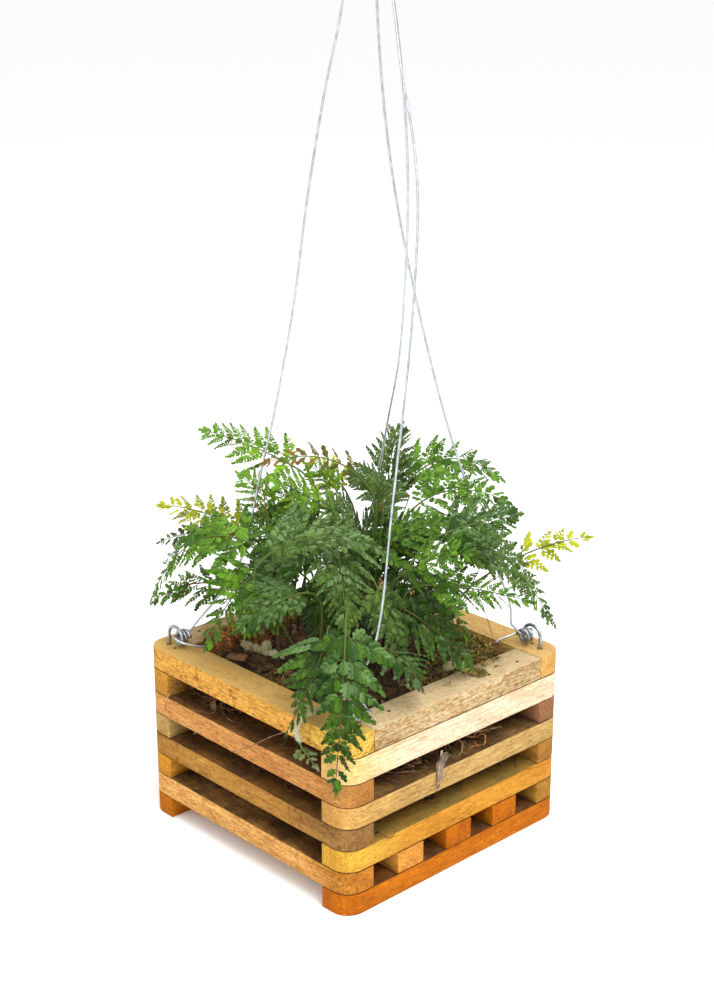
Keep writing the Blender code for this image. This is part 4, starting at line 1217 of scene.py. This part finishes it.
def fur(bed, hair, route, count, draw, reach=1.5):
    """Flat-lying pale hairs all over a rhizome, pointing towards its tip."""
    for _ in range(count):
        step = draw.uniform(0, len(route) - 1.001)
        index = int(step)
        (start, wide), (end, narrow) = route[index], route[index + 1]
        along = (end - start).normalized()
        spin = Matrix.Rotation(draw.uniform(0, 2 * math.pi), 3, along)
        side = spin @ along.orthogonal().normalized()
        radius = wide + (narrow - wide) * (step - index)
        root = start.lerp(end, step - index) + side * radius * 0.9
        lean = draw.uniform(0.25, 1.3)
        heading = (along + side * lean).normalized()
        across = heading.cross(side).normalized()
        length = draw.uniform(0.5, 1.0) * reach * MM
        matrix = frame_matrix(
            root, heading, across, across.cross(heading), length, 0.32 * MM, 0.22 * MM
        )
        bed.add(hair, matrix, draw.random(), step / len(route))


# Small furry growing tips that stand out of the mix: across, toward, up, heading and size.
RHIZOME_TIPS = [((-55, 5, 94), (-0.3, 0.3, 0.9), 2.3), ((-45, 4, 94.5), (0.3, 0.2, 0.9), 2.5),
                ((-50, -10, 95.5), (0.5, -0.1, 0.6), 2.4), ((-47, -24, 97), (0.5, 0.1, 0.6), 2.2),
                ((48, 30, 97), (0.7, 0.3, 0.5), 2.0)]


class FERNCRATE_OT_rhizomes(Operator):
    """Builds the creeping stems with their pale fur"""

    bl_idname = "fern_crate.rhizomes"
    bl_label = "Rhizomes"

    def execute(self, context):
        draw = random.Random(41)
        hair = model_hair()
        count = context.scene.fern_crate_mix.fur
        finish = shaded_finish("rhizome_fur", (0.50, 0.45, 0.24), (1.0, 1.0, 0.80))
        for name in RHIZOMES:
            route = rhizome_route(name)
            core = tubes(name + "_core", [route], 2)
            bed = Bed()
            fur(bed, hair, route, count, draw)
            if name == "rhizome_front":
                self.young_frond()
            coat = bed.make(name + "_coat")
            put(join_pieces(name + "_furry", core, coat), finish, "rhizome", name)
        cores, bed = [], Bed()
        for place, heading, radius in RHIZOME_TIPS:
            root = diagonal_place(*place)
            way = (ACROSS * heading[0] + TOWARD * heading[1] + UP * heading[2]).normalized()
            sizes = (0.8, 1.05, 1.1, 1.0, 0.6)
            route = [
                (root + way * (step - 2) * 1.5 * MM, radius * MM * size)
                for step, size in enumerate(sizes)
            ]
            cores.append(route)
            fur(bed, hair, route, count // 3, draw, 1.2)
        tips = join_pieces(
            "rhizome_tips", tubes("rhizome_tip_cores", cores, 2), bed.make("rhizome_tip_fur")
        )
        put(tips, finish, "rhizome")
        return {"FINISHED"}

    def young_frond(self):
        """The small pale frond that hangs from the tip of the front rhizome."""
        knee, mid, tip = (diagonal_place(*place) for place in YOUNG_FROND)
        small = model_leaflet("young_leaflet_shape", SMALL_EDGE, SMALL_MIDRIB)
        rachis = Rachis(knee, mid, tip, 0)
        frond = Frond(
            rachis, YOUNG_HALF_WIDTH, YOUNG_PINNAE, [(0, small)], 61, YOUNG_MANNER, (1, 1)
        )
        end = rhizome_route("rhizome_front")[-1][0]
        stalk = [(end, 0.5 * MM), (end.lerp(knee, 0.5), 0.45 * MM)]
        stalk += [(rachis.place(t / 4, 0, 0), (0.42 - 0.06 * t) * MM) for t in range(5)]
        stalks = tubes("young_frond_stalk", [stalk, *frond.ribs], 1)
        blade = frond.bed.make("young_frond_leaflets")
        finish = leaf_finish("young_leaf", (0.13, 0.22, 0.075), (0.34, 0.40, 0.20))
        piece = join_pieces("young_frond_leafy", blade, stalks)
        put(piece, finish, "rhizome", "rhizome_front")


# Fronds


def bezier(points, t):
    while len(points) > 1:
        points = [a.lerp(b, t) for a, b in zip(points, points[1:])]
    return points[0]


class Rachis:
    """The curve of a frond's midrib, with a frame across and above it."""

    def __init__(self, knee, mid, tip, roll):
        self.points = [knee, mid * 2 - (knee + tip) / 2, tip]
        self.roll = math.radians(roll)
        steps = [bezier(self.points, i / 20) for i in range(21)]
        self.length = sum((b - a).length for a, b in zip(steps, steps[1:]))

    def along(self, t):
        first, middle, last = self.points
        return ((middle - first) * (1 - t) + (last - middle) * t).normalized()

    def frame(self, t):
        along = self.along(min(t, 1))
        across = Matrix.Rotation(self.roll, 3, along) @ along.cross(UP).normalized()
        return along, across, across.cross(along)

    def place(self, t, side, sag):
        """A point of the blade: t along the rachis, side across it, and sagging."""
        along, across, above = self.frame(t)
        base = bezier(self.points, min(t, 1)) + along * max(t - 1, 0) * self.length
        return base + across * side - above * sag


def stations(pairs):
    """Shares of the rachis where its pinnae meet, closer together towards the tip."""
    steps = [PINNA_STEP**i for i in range(pairs)]
    places = [FIRST_PINNA]
    for step in steps:
        places.append(places[-1] + (LAST_PINNA - FIRST_PINNA) * step / sum(steps))
    return places


def stem_places(foot, knee, heading):
    """A stipe's centre line: upright in its hole, then arching over to the blade."""
    reach = (knee - foot).length
    start = foot + UP * STIPE_START
    pulls = [start, start + UP * STIPE_RISE * reach, knee - heading * STIPE_REACH * reach, knee]
    return [foot - UP * STIPE_DEPTH, *(bezier(pulls, t / 9) for t in range(10))]


class Frond:
    """One frond: its stalks as routes, and its leaflets as copies on a bed."""

    def __init__(self, rachis, half_width, count, shapes, seed, manner, halves):
        fern = bpy.context.scene.fern_crate_leaves
        self.rachis = rachis
        self.half_width = half_width
        self.draw = random.Random(seed)
        self.shapes = shapes
        share, step, self.crowding, self.looseness, self.width = manner
        self.share = fern.leaflet_share * share
        self.step = fern.leaflet_step * step
        self.halves = halves
        self.sway = fern.restlessness
        self.bed = Bed()
        self.ribs = []
        places = stations(round(count * self.crowding))
        for start, end in zip(places, places[1:]):
            for side in (1, -1):
                self.pinna(start, end, side)
        self.tip(places[-1])

    def leaflet(self, root, heading, normal, length, age, spread=1.0):
        tilt = self.draw.gauss(0, self.sway)
        twist = Matrix.Rotation(self.draw.gauss(0, self.sway * 0.6), 3, normal)
        heading = twist @ heading
        normal = Matrix.Rotation(tilt, 3, heading) @ normal
        across = normal.cross(heading).normalized()
        normal = heading.cross(across).normalized()
        shape = next(shape for least, shape in self.shapes if length > least)
        width = length * self.width * spread
        matrix = frame_matrix(root, heading, across, normal, length, width, length)
        self.bed.add(shape, matrix, self.draw.random(), age)

    def pinna(self, start, end, side):
        draw, rachis = self.draw, self.rachis
        middle = (start + end) / 2 + draw.uniform(-0.1, 0.1) * (end - start)
        along, across, above = rachis.frame(middle)
        length = self.half_width * (1 - PINNA_NARROWING * middle) * draw.uniform(0.92, 1.05)
        half = self.halves[0 if side > 0 else 1]
        length *= half + (1 - half) * middle
        lean = BASE_LEAN + (TIP_LEAN - BASE_LEAN) * start + draw.uniform(-4, 4) * self.looseness
        lean = math.radians(lean)
        room = (end - start) * rachis.length * math.sin(lean) / 2
        lane = min(self.crowding * room, WIDEST_LANE * length)
        roll = draw.gauss(0, self.sway * self.looseness)
        way = along * math.cos(lean) + across * side * math.sin(lean)
        normal = Matrix.Rotation(roll, 3, way) @ above
        lie = way.cross(normal).normalized()
        curl = draw.uniform(0.04, 0.12)

        def spine(u):
            out = u * length * math.sin(lean)
            sag = BLADE_SAG * out**2 / self.half_width
            forward = along * curl * length * u**2
            return rachis.place(middle, side * RIB_HALF * 0.5, sag) + way * length * u + forward

        if length < SHORT_PINNA:
            self.leaflet(spine(0.04), way, normal, length, middle, 0.75)
            return
        stout = MM * (0.6 + length / (50 * MM))
        self.ribs.append([
            (spine(step / PINNA_STEPS), (PINNA_RIB - PINNA_TAPER * step / PINNA_STEPS) * stout)
            for step in range(PINNA_STEPS + 1)
        ])
        u = FIRST_LEAFLET
        first = True
        turn = draw.choice((1, -1))
        while u < LAST_LEAFLET:
            size = max(self.share * lane * (1 - u) ** 0.5, SHORT_LEAFLET)
            heading = (spine(min(u + 0.05, 1)) - spine(max(u - 0.05, 0))).normalized()
            angle = math.radians(LEAFLET_LEAN - LEAN_LOSS * u)
            for hand in (1, -1):
                toward_tip = (hand * lie).dot(along) > 0
                long = size * (FORWARD_LENGTH if toward_tip else BACKWARD_LENGTH)
                long *= draw.uniform(0.9, 1.1)
                if first and toward_tip:
                    long *= FIRST_LENGTH
                shift = STAGGER * self.step * size / length * (1 if hand == turn else -1)
                direction = heading * math.cos(angle) + lie * hand * math.sin(angle)
                self.leaflet(spine(min(max(u + shift, 0.03), 1)), direction, normal, long, middle)
            first = False
            u += self.step * size / length
        last = (spine(1.0) - spine(0.9)).normalized()
        size = max(0.55 * lane, END_LEAFLET)
        self.leaflet(spine(LAST_LEAFLET), last, normal, size * 1.5, middle)

    def tip(self, start):
        rachis = self.rachis
        t = start - 0.03
        size = max(TIP_SIZE * self.half_width, END_LEAFLET)
        while t < 1.0:
            along, across, above = rachis.frame(t)
            for side in (1, -1):
                heading = (along * 0.72 + across * side * 0.7).normalized()
                self.leaflet(rachis.place(t, 0, 0), heading, above, size, 1.0)
            t += TIP_STEP * size / rachis.length
            size *= TIP_SHRINK
        along, across, above = rachis.frame(1.0)
        self.leaflet(rachis.place(0.99, 0, 0), along, above, max(size * 1.8, 2.2 * MM), 1.0)

    def stalk(self, stem):
        """The stipe and rachis as one tapering route."""
        route = []
        for number, place in enumerate(stem[:-1]):
            route.append((place, (STALK_FOOT - STALK_TAPER * number / len(stem)) * MM))
        for step in range(15):
            t = step / 14
            route.append((self.rachis.place(t, 0, 0), (RACHIS_START - RACHIS_TAPER * t) * MM))
        return route


LEAF_SLOTS = {
    "dark": "leaf_dark", "grey": "leaf_grey", "leaf": "leaf_green", "bright": "leaf_bright",
    "yellow": "leaf_yellow", "lime": "leaf_lime", "bronze": "leaf_bronze",
}

# How each tint of frond is cut: its leaflets' length, their spacing, the crowding of its
# pinnae, how loosely those lie and its leaflets' width.
MANNERS = {
    "dark": (1.12, 0.98, 1.3, 1.5, 0.76),
    "grey": (1.08, 0.92, 1.45, 1.3, 0.68),
    "leaf": (1.02, 1.02, 1.3, 1.9, 0.68),
    "bright": (1.0, 1.12, 1.15, 2.7, 0.66),
    "yellow": (0.92, 1.1, 1.2, 2.2, 0.68),
    "lime": (1.1, 1.35, 0.9, 1.5, 0.80),
    "bronze": (0.55, 1.1, 1.3, 2.6, 0.62),
}
NEAR_MANNER = (1.02, 0.92, 1.25, 1.8, 0.82)
NEAR_FRONDS = {
    "frond_over_corner", "frond_over_left", "frond_left_droop", "frond_right_low",
    "frond_right_front",
}

# The colour at the tip of a young frond, and the greyish sheen painted on the upper faces of an old one.
TIP_TONES = {
    "yellow": (0.36, 0.38, 0.016),
    "lime": (0.33, 0.36, 0.014),
    "bronze": (0.17, 0.10, 0.020),
    "bright": (0.10, 0.22, 0.015),
}
PAINTED_SHEENS = {"dark": 0.35, "grey": 0.5, "leaf": 0.1}

RED_STALKS = {"frond_left_low"}

# Fronds whose two halves don't reach equally far: shares of the half width.
HALVES = {
    "frond_over_corner": (0.4, 1.05),
    "frond_over_left": (1.3, 1.35),
    "frond_front_fan": (0.3, 1.25),
    "frond_front_left": (1.25, 0.55),
    "frond_bronze": (0.5, 0.3),
    "frond_right_top": (0.8, 0.9),
    "frond_right_high": (0.8, 0.8),
}


class FERNCRATE_OT_fronds(Operator):
    """Builds the divided fronds on their stalks"""

    bl_idname = "fern_crate.fronds"
    bl_label = "Fronds"

    def execute(self, context):
        fern = context.scene.fern_crate_leaves
        broad = model_leaflet("leaflet_shape", BROAD_EDGE, BROAD_MIDRIB)
        small = model_leaflet("small_leaflet_shape", SMALL_EDGE, SMALL_MIDRIB)
        tiny = model_leaflet("tiny_leaflet_shape", TINY_EDGE, TINY_MIDRIB)
        plain = [(1.9 * MM, small), (0, tiny)]
        leaves = {}
        for tint in LEAF_SLOTS:
            tone = tuple(getattr(fern, tint))
            leaves[tint] = leaf_finish(
                f"leaf_{tint}_finish", tone, TIP_TONES.get(tint), PAINTED_SHEENS.get(tint, 0.0)
            )
        green_stem = stem_finish("stalk_green", (0.050, 0.026, 0.010), (0.070, 0.115, 0.018))
        red_stem = stem_finish("stalk_red", (0.110, 0.030, 0.012), (0.150, 0.040, 0.014))
        for number, (name, row) in enumerate([*FRONDS.items(), *INNER_FRONDS.items()]):
            foot, knee, mid, tip, half_width, count, roll, tint = row
            knee, mid, tip = (diagonal_place(*place) for place in (knee, mid, tip))
            rachis = Rachis(knee, mid, tip, roll)
            if name in SHARED_FEET:
                foot = FRONDS[SHARED_FEET[name]][0]
            shapes = [(3 * MM, broad), *plain] if name in BROAD_FRONDS else plain
            halves = HALVES.get(name, (1, 1))
            manner = NEAR_MANNER if name in NEAR_FRONDS else MANNERS[tint]
            frond = Frond(rachis, half_width * MM, count, shapes, 100 + number, manner, halves)
            stem = stem_places(on_mix(diagonal_place(*foot)), knee, rachis.along(0))
            stalks = tubes(name + "_stalk", [frond.stalk(stem)], 2)
            ribs = tubes(name + "_ribs", frond.ribs, 0)
            stalks = join_pieces(name + "_stalks", stalks, ribs)
            set_age(stalks, lambda place: min(1, max(0, (place.z / MM - 90) / 70)))
            stalks.data.materials.clear()
            stalks.data.materials.append(red_stem if name in RED_STALKS else green_stem)
            blade = frond.bed.make(name + "_leaflets")
            blade.data.materials.append(leaves[tint])
            piece = join_pieces(name + "_leafy", blade, stalks)
            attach(piece, "root")
            if name in FRONDS:
                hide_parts(SHARED_FEET.get(name, name))
        return {"FINISHED"}


# Litter


def model_strand(name, bends):
    """A bent fibre one unit long."""
    route = []
    for step in range(7):
        u = step / 6
        sway = (bends[0] * math.sin(math.pi * u), bends[1] * math.sin(2 * math.pi * u))
        route.append((Vector((u, *sway)), 0.012 * (1.1 - 0.6 * u)))
    return take_template(tubes(name, [route], 0))


def model_chip():
    """A broken chip of bark."""
    bpy.ops.object.select_all(action="DESELECT")
    bpy.ops.mesh.primitive_cube_add(size=1)
    chip = named(bpy.context.object, "chip_shape")
    with edit_mode():
        bpy.ops.mesh.bevel(offset=0.16, segments=1, affect="EDGES")
    noise.seed_set(NOISE_SEED)
    for vert in chip.data.vertices:
        vert.co += noise.noise_vector(vert.co * 2.3 + Vector((3, 1, 4))) * 0.22
    return take_template(chip)


def turned(draw, root, length, width, depth, slope=0.35, heading=None):
    """A matrix for a bit that lies at random, sloping by no more than a little."""
    if heading is None:
        angle = draw.uniform(0, 2 * math.pi)
        heading = Vector((math.cos(angle), math.sin(angle), draw.uniform(-slope, slope)))
    heading = heading.normalized()
    roll = draw.uniform(-0.5, 0.5) if slope < 1 else draw.uniform(0, 6.3)
    across = Matrix.Rotation(roll, 3, heading) @ heading.cross(UP).normalized()
    return frame_matrix(root, heading, across, across.cross(heading), length, width, depth)


def within_crate(x, y, half):
    return max(-half, min(half, x)), max(-half, min(half, y))


def gap_place(draw):
    """A place on the slat tops that show in the gaps of the four sides, near the mix."""
    if draw.random() < CLUMP_SHARE:
        layer, turn, along = draw.choice(GAP_CLUMPS)
        along = (along + draw.gauss(0, 9)) * MM
        rise = abs(draw.gauss(0, 3)) + 0.4
        out = INSIDE + draw.uniform(-1, 9) * MM
        place = Vector((along, -out, layer_floor(layer) + rise * MM))
        return Matrix.Rotation(math.radians(90 * turn), 3, "Z") @ place
    layer = draw.choice((2, 4, 4, 6, 6, 6) if draw.random() < 0.5 else (3, 3, 5, 5, 5))
    turn = draw.choice((0, 0, 2)) if layer % 2 == 0 else draw.choice((1, 1, 3))
    out = INSIDE + abs(draw.gauss(0, 4.5)) * MM
    along = draw.uniform(-INSIDE, INSIDE) * 0.97
    height = layer_floor(layer) + draw.choice((0.4, 0.6, draw.uniform(0.5, 10))) * MM
    return Matrix.Rotation(math.radians(90 * turn), 3, "Z") @ Vector((along, -out, height))


class FERNCRATE_OT_litter(Operator):
    """Builds the moss, fibres, bark chips and dry bits that lie on and in the crate"""

    bl_idname = "fern_crate.litter"
    bl_label = "Moss and Litter"

    def execute(self, context):
        amounts = context.scene.fern_crate_mix
        draw = random.Random(7)
        self.moss(draw, amounts.moss)
        self.fibres(draw, amounts.fibres, amounts.gap_fibres)
        self.chips(draw, amounts.chips)
        self.dry_leaf()
        self.twigs()
        return {"FINISHED"}

    def moss(self, draw, count):
        shoot = model_leaflet("moss_shape", TINY_EDGE, TINY_MIDRIB)
        bed = Bed()
        shares = [spot[3] for spot in MOSS_SPOTS]
        for _ in range(count):
            x, y, spread, _ = draw.choices(MOSS_SPOTS, shares)[0]
            x, y = (place + draw.gauss(0, spread) for place in (x, y))
            spilt = x > 62 and y > 0
            x = min(x, 72) if spilt else within_crate(x, y, 57)[0]
            y = within_crate(x, y, 56)[1]
            place = Vector((x, y, 0)) * MM
            lift = draw.uniform(0, 9 if x > 38 and y > 22 else 2) * MM
            root = Vector((place.x, place.y, RIM + 0.3 * MM)) if spilt else on_mix(place, lift)
            tone = draw.random() ** 1.5
            for turn in range(4):
                angle = turn * 1.6 + draw.uniform(0, 1)
                heading = Vector((math.cos(angle), math.sin(angle), draw.uniform(0.2, 1.6)))
                length = draw.uniform(1.3, 2.6) * MM
                bed.add(shoot, turned(draw, root, length, length * 0.5, length, 2, heading), tone)
        moss = bed.make("moss_cushions")
        green_gold = shaded_finish("moss_green_gold", (0.075, 0.070, 0.006), (0.60, 0.44, 0.13))
        put(moss, green_gold, "potting_mix")

    def fibres(self, draw, count, gap_count):
        strands = [
            model_strand(f"strand_shape_{number}", bends)
            for number, bends in enumerate(((0.12, 0.05), (0.24, -0.06), (-0.16, 0.10)))
        ]
        beds = {tone: Bed() for tone in FIBRE_TONES}
        shares = [spot[3] for spot in FIBRE_SPOTS]
        for _ in range(count):
            x, y, spread, _, tone = draw.choices(FIBRE_SPOTS, shares)[0]
            x, y = within_crate(x + draw.gauss(0, spread), y + draw.gauss(0, spread), 57)
            lift = abs(draw.gauss(0, 5.0 if tone == "red" else 1.8)) * MM
            root = on_mix(Vector((x, y, 0)) * MM, lift)
            length = draw.uniform(4, 13) * MM
            thick = length * draw.uniform(0.6, 1.7)
            if tone == "red":
                length = draw.uniform(4, 9) * MM
                thick = length * draw.uniform(1.5, 6)
            beds[tone].add(
                draw.choice(strands), turned(draw, root, length, thick, thick, 0.7), draw.random()
            )
        for _ in range(gap_count):
            root = gap_place(draw)
            length = draw.uniform(3, 12) * MM
            thick = length * draw.uniform(1, 3.6)
            matrix = turned(draw, root, length, thick, thick, 0.5)
            # Painted shade: fibres in the gaps get darker shades, for the shade that the slats cast on them.
            tone = draw.choices(("brown", "gold", "red"), (10, 1, 1.5))[0]
            beds[tone].add(draw.choice(strands), matrix, draw.random() ** 2)
        for tone, bed in beds.items():
            piece = bed.make(f"{tone}_fibres")
            put(piece, shaded_finish(f"{tone}_fibre", *FIBRE_TONES[tone]), "potting_mix")

    def chips(self, draw, count):
        chip = model_chip()
        bed = Bed()
        for number in range(count):
            if number % 3:
                x, y = draw.uniform(-55, 55), draw.uniform(-55, 55)
                root = on_mix(Vector((x, y, 0)) * MM, draw.uniform(0, 1.5) * MM)
                length = draw.uniform(2.5, 8) * MM
            else:
                root = gap_place(draw)
                length = draw.uniform(1.5, 5) * MM
            width = length * draw.uniform(0.35, 0.7)
            matrix = turned(draw, root, length, width, width * draw.uniform(0.3, 0.6), 0.5)
            bed.add(chip, matrix, draw.random() ** 1.6)
        flat = frame_matrix(
            Vector((-33, -51, 93)) * MM, Vector((0.95, 0.3, 0.05)).normalized(),
            Vector((-0.3, 0.95, 0.3)).normalized(), UP, 12 * MM, 4.2 * MM, 1.3 * MM,
        )
        bed.add(chip, flat, 0.9)
        bark = shaded_finish("bark", (0.028, 0.013, 0.007), (0.34, 0.17, 0.085))
        put(bed.make("bark_chips"), bark, "potting_mix")

    def dry_leaf(self):
        """A withered leaf caught in a gap of the right side."""
        bpy.ops.object.select_all(action="DESELECT")
        bpy.ops.mesh.primitive_grid_add(x_subdivisions=14, y_subdivisions=6, size=1)
        leaf = named(bpy.context.object, "dry_leaf")
        for vert in leaf.data.vertices:
            u, side = vert.co.x + 0.5, vert.co.y * 2
            width = (3.4 + 1.2 * math.sin(9 * u + side)) * (1 - u) ** 0.7
            half = width * min(1, 0.4 + 4 * u) + 0.3
            crimp = 2.2 * noise.noise(Vector((u * 5, side * 2.0, 3)))
            fold = 1.6 * abs(side) * (1 - u) + abs(crimp)
            height = 66 - 17 * u
            vert.co = Vector((75.4 + 2.2 * u**2 + fold, -12.5 - 5.2 * u + side * half, height)) * MM
        solid = leaf.modifiers.new("thickness", "SOLIDIFY")
        solid.thickness = 0.25 * MM
        vein = tubes("dry_leaf_vein", [[
            (Vector((75.3 + 2.4 * u**2, -12.5 - 5.2 * u, 67 - 19 * u)) * MM, (0.42 - 0.2 * u) * MM)
            for u in (0, 0.25, 0.5, 0.75, 1.0)
        ]], 1)
        apply_modifiers(leaf)
        bpy.ops.object.shade_smooth()
        finish = fibre_finish("withered_leaf", (0.05, 0.030, 0.020), (0.26, 0.19, 0.14))
        pale = fibre_finish("withered_vein", (0.42, 0.30, 0.20), (0.66, 0.52, 0.38))
        put(leaf, finish, "potting_mix")
        put(vein, pale, "potting_mix")

    def twigs(self):
        routes = []
        for radius, places in TWIGS:
            route = smooth_route([Vector(place) * MM for place in places], 4)
            routes.append(tapered(route, radius * MM))
        twigs = tubes("loose_twigs", routes, 1)
        put(twigs, fibre_finish("twig", (0.12, 0.055, 0.025), (0.42, 0.26, 0.14)), "potting_mix")


class FERNCRATE_OT_marks(Operator):
    """Adds dark discs on the filler slats and beside the corner rods, painted shade that stands for nail
    holes
    """

    bl_idname = "fern_crate.marks"
    bl_label = "Nail Holes"

    def execute(self, context):
        places = list(NAIL_HOLES)
        for turn in CORNER_TURNS.values():
            beside = corner_place(turn, 6.5 * MM, -1.5 * MM, 0)
            places.append((beside.x / MM, beside.y / MM))
        hole_shades = []
        for x, y in places:
            bpy.ops.object.select_all(action="DESELECT")
            bpy.ops.mesh.primitive_cylinder_add(
                vertices=12, radius=0.95 * MM, depth=0.8 * MM,
                location=(x * MM, y * MM, RIM - GAP - 0.3 * MM),
            )
            hole_shade = bpy.context.object
            with edit_mode():
                bpy.ops.mesh.bevel(offset=0.12 * MM, segments=1, affect="EDGES")
            bpy.ops.object.transform_apply(location=True, rotation=True, scale=True)
            hole_shades.append(hole_shade)
        # Painted shade: the nearly black discs stand for the shade inside the nail holes.
        nails = join_pieces("nail_holes", *hole_shades)
        put(nails, fibre_finish("nail_hole", (0.012, 0.006, 0.004), (0.05, 0.025, 0.015)), "wire")
        return {"FINISHED"}


class FERNCRATE_OT_sprigs(Operator):
    """Builds the thin stems, the hanging strand and the curled young tips"""

    bl_idname = "fern_crate.sprigs"
    bl_label = "Sprigs"

    def execute(self, context):
        brown = [
            [(42, 10, 99), (49.5, 10.5, 116), (56, 12, 127), (64, 14, 146)],
            [(44, 8, 98), (50, 8, 115), (58.4, 8.2, 125), (72.8, 5.8, 135.6)],
        ]
        green = [[(56, 30, 141), (61.6, 38.1, 137), (65.2, 38, 128), (68.8, 37.9, 116)]]
        curled = [self.crozier(*row) for row in (
            ((-41.8, 13.3, 168), (-44.5, 13.4, 183), 1.5),
            ((-44.8, 13.4, 166), (-48.3, 14.5, 178), 1.3),
            ((14, 1.6, 160), (14.5, 1.6, 171), 1.2),
            ((24, -1, 164), (27.5, -0.9, 175), 1.3),
        )]
        for name, rows, width, tones in (
            ("brown_stems", brown, 0.42, ((0.10, 0.045, 0.015), (0.16, 0.080, 0.025))),
            ("green_strand", green, 0.30, ((0.05, 0.14, 0.02), (0.09, 0.22, 0.04))),
            ("curled_tips", curled, 0.34, ((0.06, 0.06, 0.012), (0.20, 0.10, 0.025))),
        ):
            routes = []
            for places in rows:
                route = smooth_route([diagonal_place(*place) for place in places], 5)
                routes.append(tapered(route, width * MM))
            stems = tubes(name, routes, 1)
            set_age(stems, lambda place: min(1, max(0, (place.z / MM - 150) / 40)))
            put(stems, stem_finish(name + "_finish", *tones), "leaf_bronze")
        return {"FINISHED"}

    def crozier(self, foot, top, size):
        """A young stem's places, from its foot to its curled tip."""
        places = [foot, tuple((a + b) / 2 for a, b in zip(foot, top)), top]
        across, toward, up = top
        for step in range(1, 9):
            angle, reach = step * 0.8, size * (1 - step / 10)
            places.append((
                across - size + reach * math.cos(angle), toward, up + reach * math.sin(angle) * 1.1
            ))
        return places


# Stage


# Each light's azimuth and elevation in degrees, its distance and its size in metres.
LIGHTS = {
    "key_light": (72, 48, 1.1, 0.6),
    "fill_light": (8, 30, 1.2, 0.9),
    "top_light": (130, 78, 1.1, 0.7),
}
CAMERA_PLACE = (0.5934, -0.5562, 0.4527)
CAMERA_ELEVATION = 18.97
CAMERA_AZIMUTH = 46.75
CAMERA_LENS = 62.2


class FERNCRATE_OT_stage(Operator):
    """Adds the floor, the lights and the camera"""

    bl_idname = "fern_crate.stage"
    bl_label = "Floor, Lights and Camera"

    def execute(self, context):
        stage = context.scene.fern_crate_stage
        bpy.ops.object.select_all(action="DESELECT")
        bpy.ops.mesh.primitive_plane_add(size=60)
        floor = named(bpy.context.object, "floor")
        paper = Finish("white_floor", 0.7)
        paper.colour((0.97, 0.97, 0.97))
        floor.data.materials.append(paper.material)
        world = bpy.data.worlds.new("white_surround")
        world.use_nodes = True
        sky = world.node_tree.nodes["Background"]
        sky.inputs["Color"].default_value = (1, 1, 1, 1)
        sky.inputs["Strength"].default_value = stage.surround
        context.scene.world = world
        target = Vector((0, 0, 0.1))
        powers = {"key_light": stage.key, "fill_light": stage.fill, "top_light": stage.top}
        for name, (azimuth, elevation, away, size) in LIGHTS.items():
            bpy.ops.object.light_add(type="AREA")
            light = bpy.context.object
            light.name = name
            light.data.energy = powers[name]
            light.data.size = size
            a, e = math.radians(azimuth), math.radians(elevation)
            back = Vector((math.sin(a) * math.cos(e), -math.cos(a) * math.cos(e), math.sin(e)))
            light.location = target + back * away
            light.rotation_euler = back.to_track_quat("Z", "Y").to_euler()
        bpy.ops.object.camera_add(
            location=CAMERA_PLACE,
            rotation=(math.radians(90 - CAMERA_ELEVATION), 0, math.radians(CAMERA_AZIMUTH)),
        )
        camera = bpy.context.object
        camera.data.sensor_fit = "VERTICAL"
        camera.data.sensor_height = 36
        camera.data.lens = CAMERA_LENS
        context.scene.camera = camera
        context.scene.view_settings.view_transform = "Standard"
        return {"FINISHED"}


class FERNCRATE_PT_panel(Panel):
    """Lists the steps that build the fern and its crate"""

    bl_label = "Fern in Wooden Crate"
    bl_idname = "FERNCRATE_PT_panel"
    bl_space_type = "VIEW_3D"
    bl_region_type = "UI"
    bl_category = "Fern Crate"

    def draw(self, context):
        for step in STEPS:
            self.layout.operator(step.bl_idname)


STEPS = [
    FERNCRATE_OT_stage,
    FERNCRATE_OT_slats,
    FERNCRATE_OT_fillers,
    FERNCRATE_OT_wires,
    FERNCRATE_OT_mix,
    FERNCRATE_OT_rhizomes,
    FERNCRATE_OT_fronds,
    FERNCRATE_OT_sprigs,
    FERNCRATE_OT_litter,
    FERNCRATE_OT_marks,
]

SETTINGS = {
    "fern_crate": CrateSettings,
    "fern_crate_wires": WireSettings,
    "fern_crate_leaves": FernSettings,
    "fern_crate_mix": MixSettings,
    "fern_crate_stage": StageSettings,
}


def register():
    for cls in (*SETTINGS.values(), *STEPS, FERNCRATE_PT_panel):
        bpy.utils.register_class(cls)
    for name, group in SETTINGS.items():
        setattr(bpy.types.Scene, name, PointerProperty(type=group))


def unregister():
    for name in SETTINGS:
        delattr(bpy.types.Scene, name)
    for cls in (FERNCRATE_PT_panel, *reversed(STEPS), *SETTINGS.values()):
        bpy.utils.unregister_class(cls)


def plain(box):
    return [list(corner) for corner in box]


def main():
    register()
    bpy.ops.fern_crate.stage()
    bpy.ops.fern_crate.slats()
    bpy.ops.fern_crate.fillers()
    bpy.ops.fern_crate.wires()
    bpy.ops.fern_crate.mix()
    bpy.ops.fern_crate.rhizomes()
    bpy.ops.fern_crate.fronds()
    bpy.ops.fern_crate.sprigs()
    bpy.ops.fern_crate.litter()
    bpy.ops.fern_crate.marks()


if __name__ == "__main__":
    main()
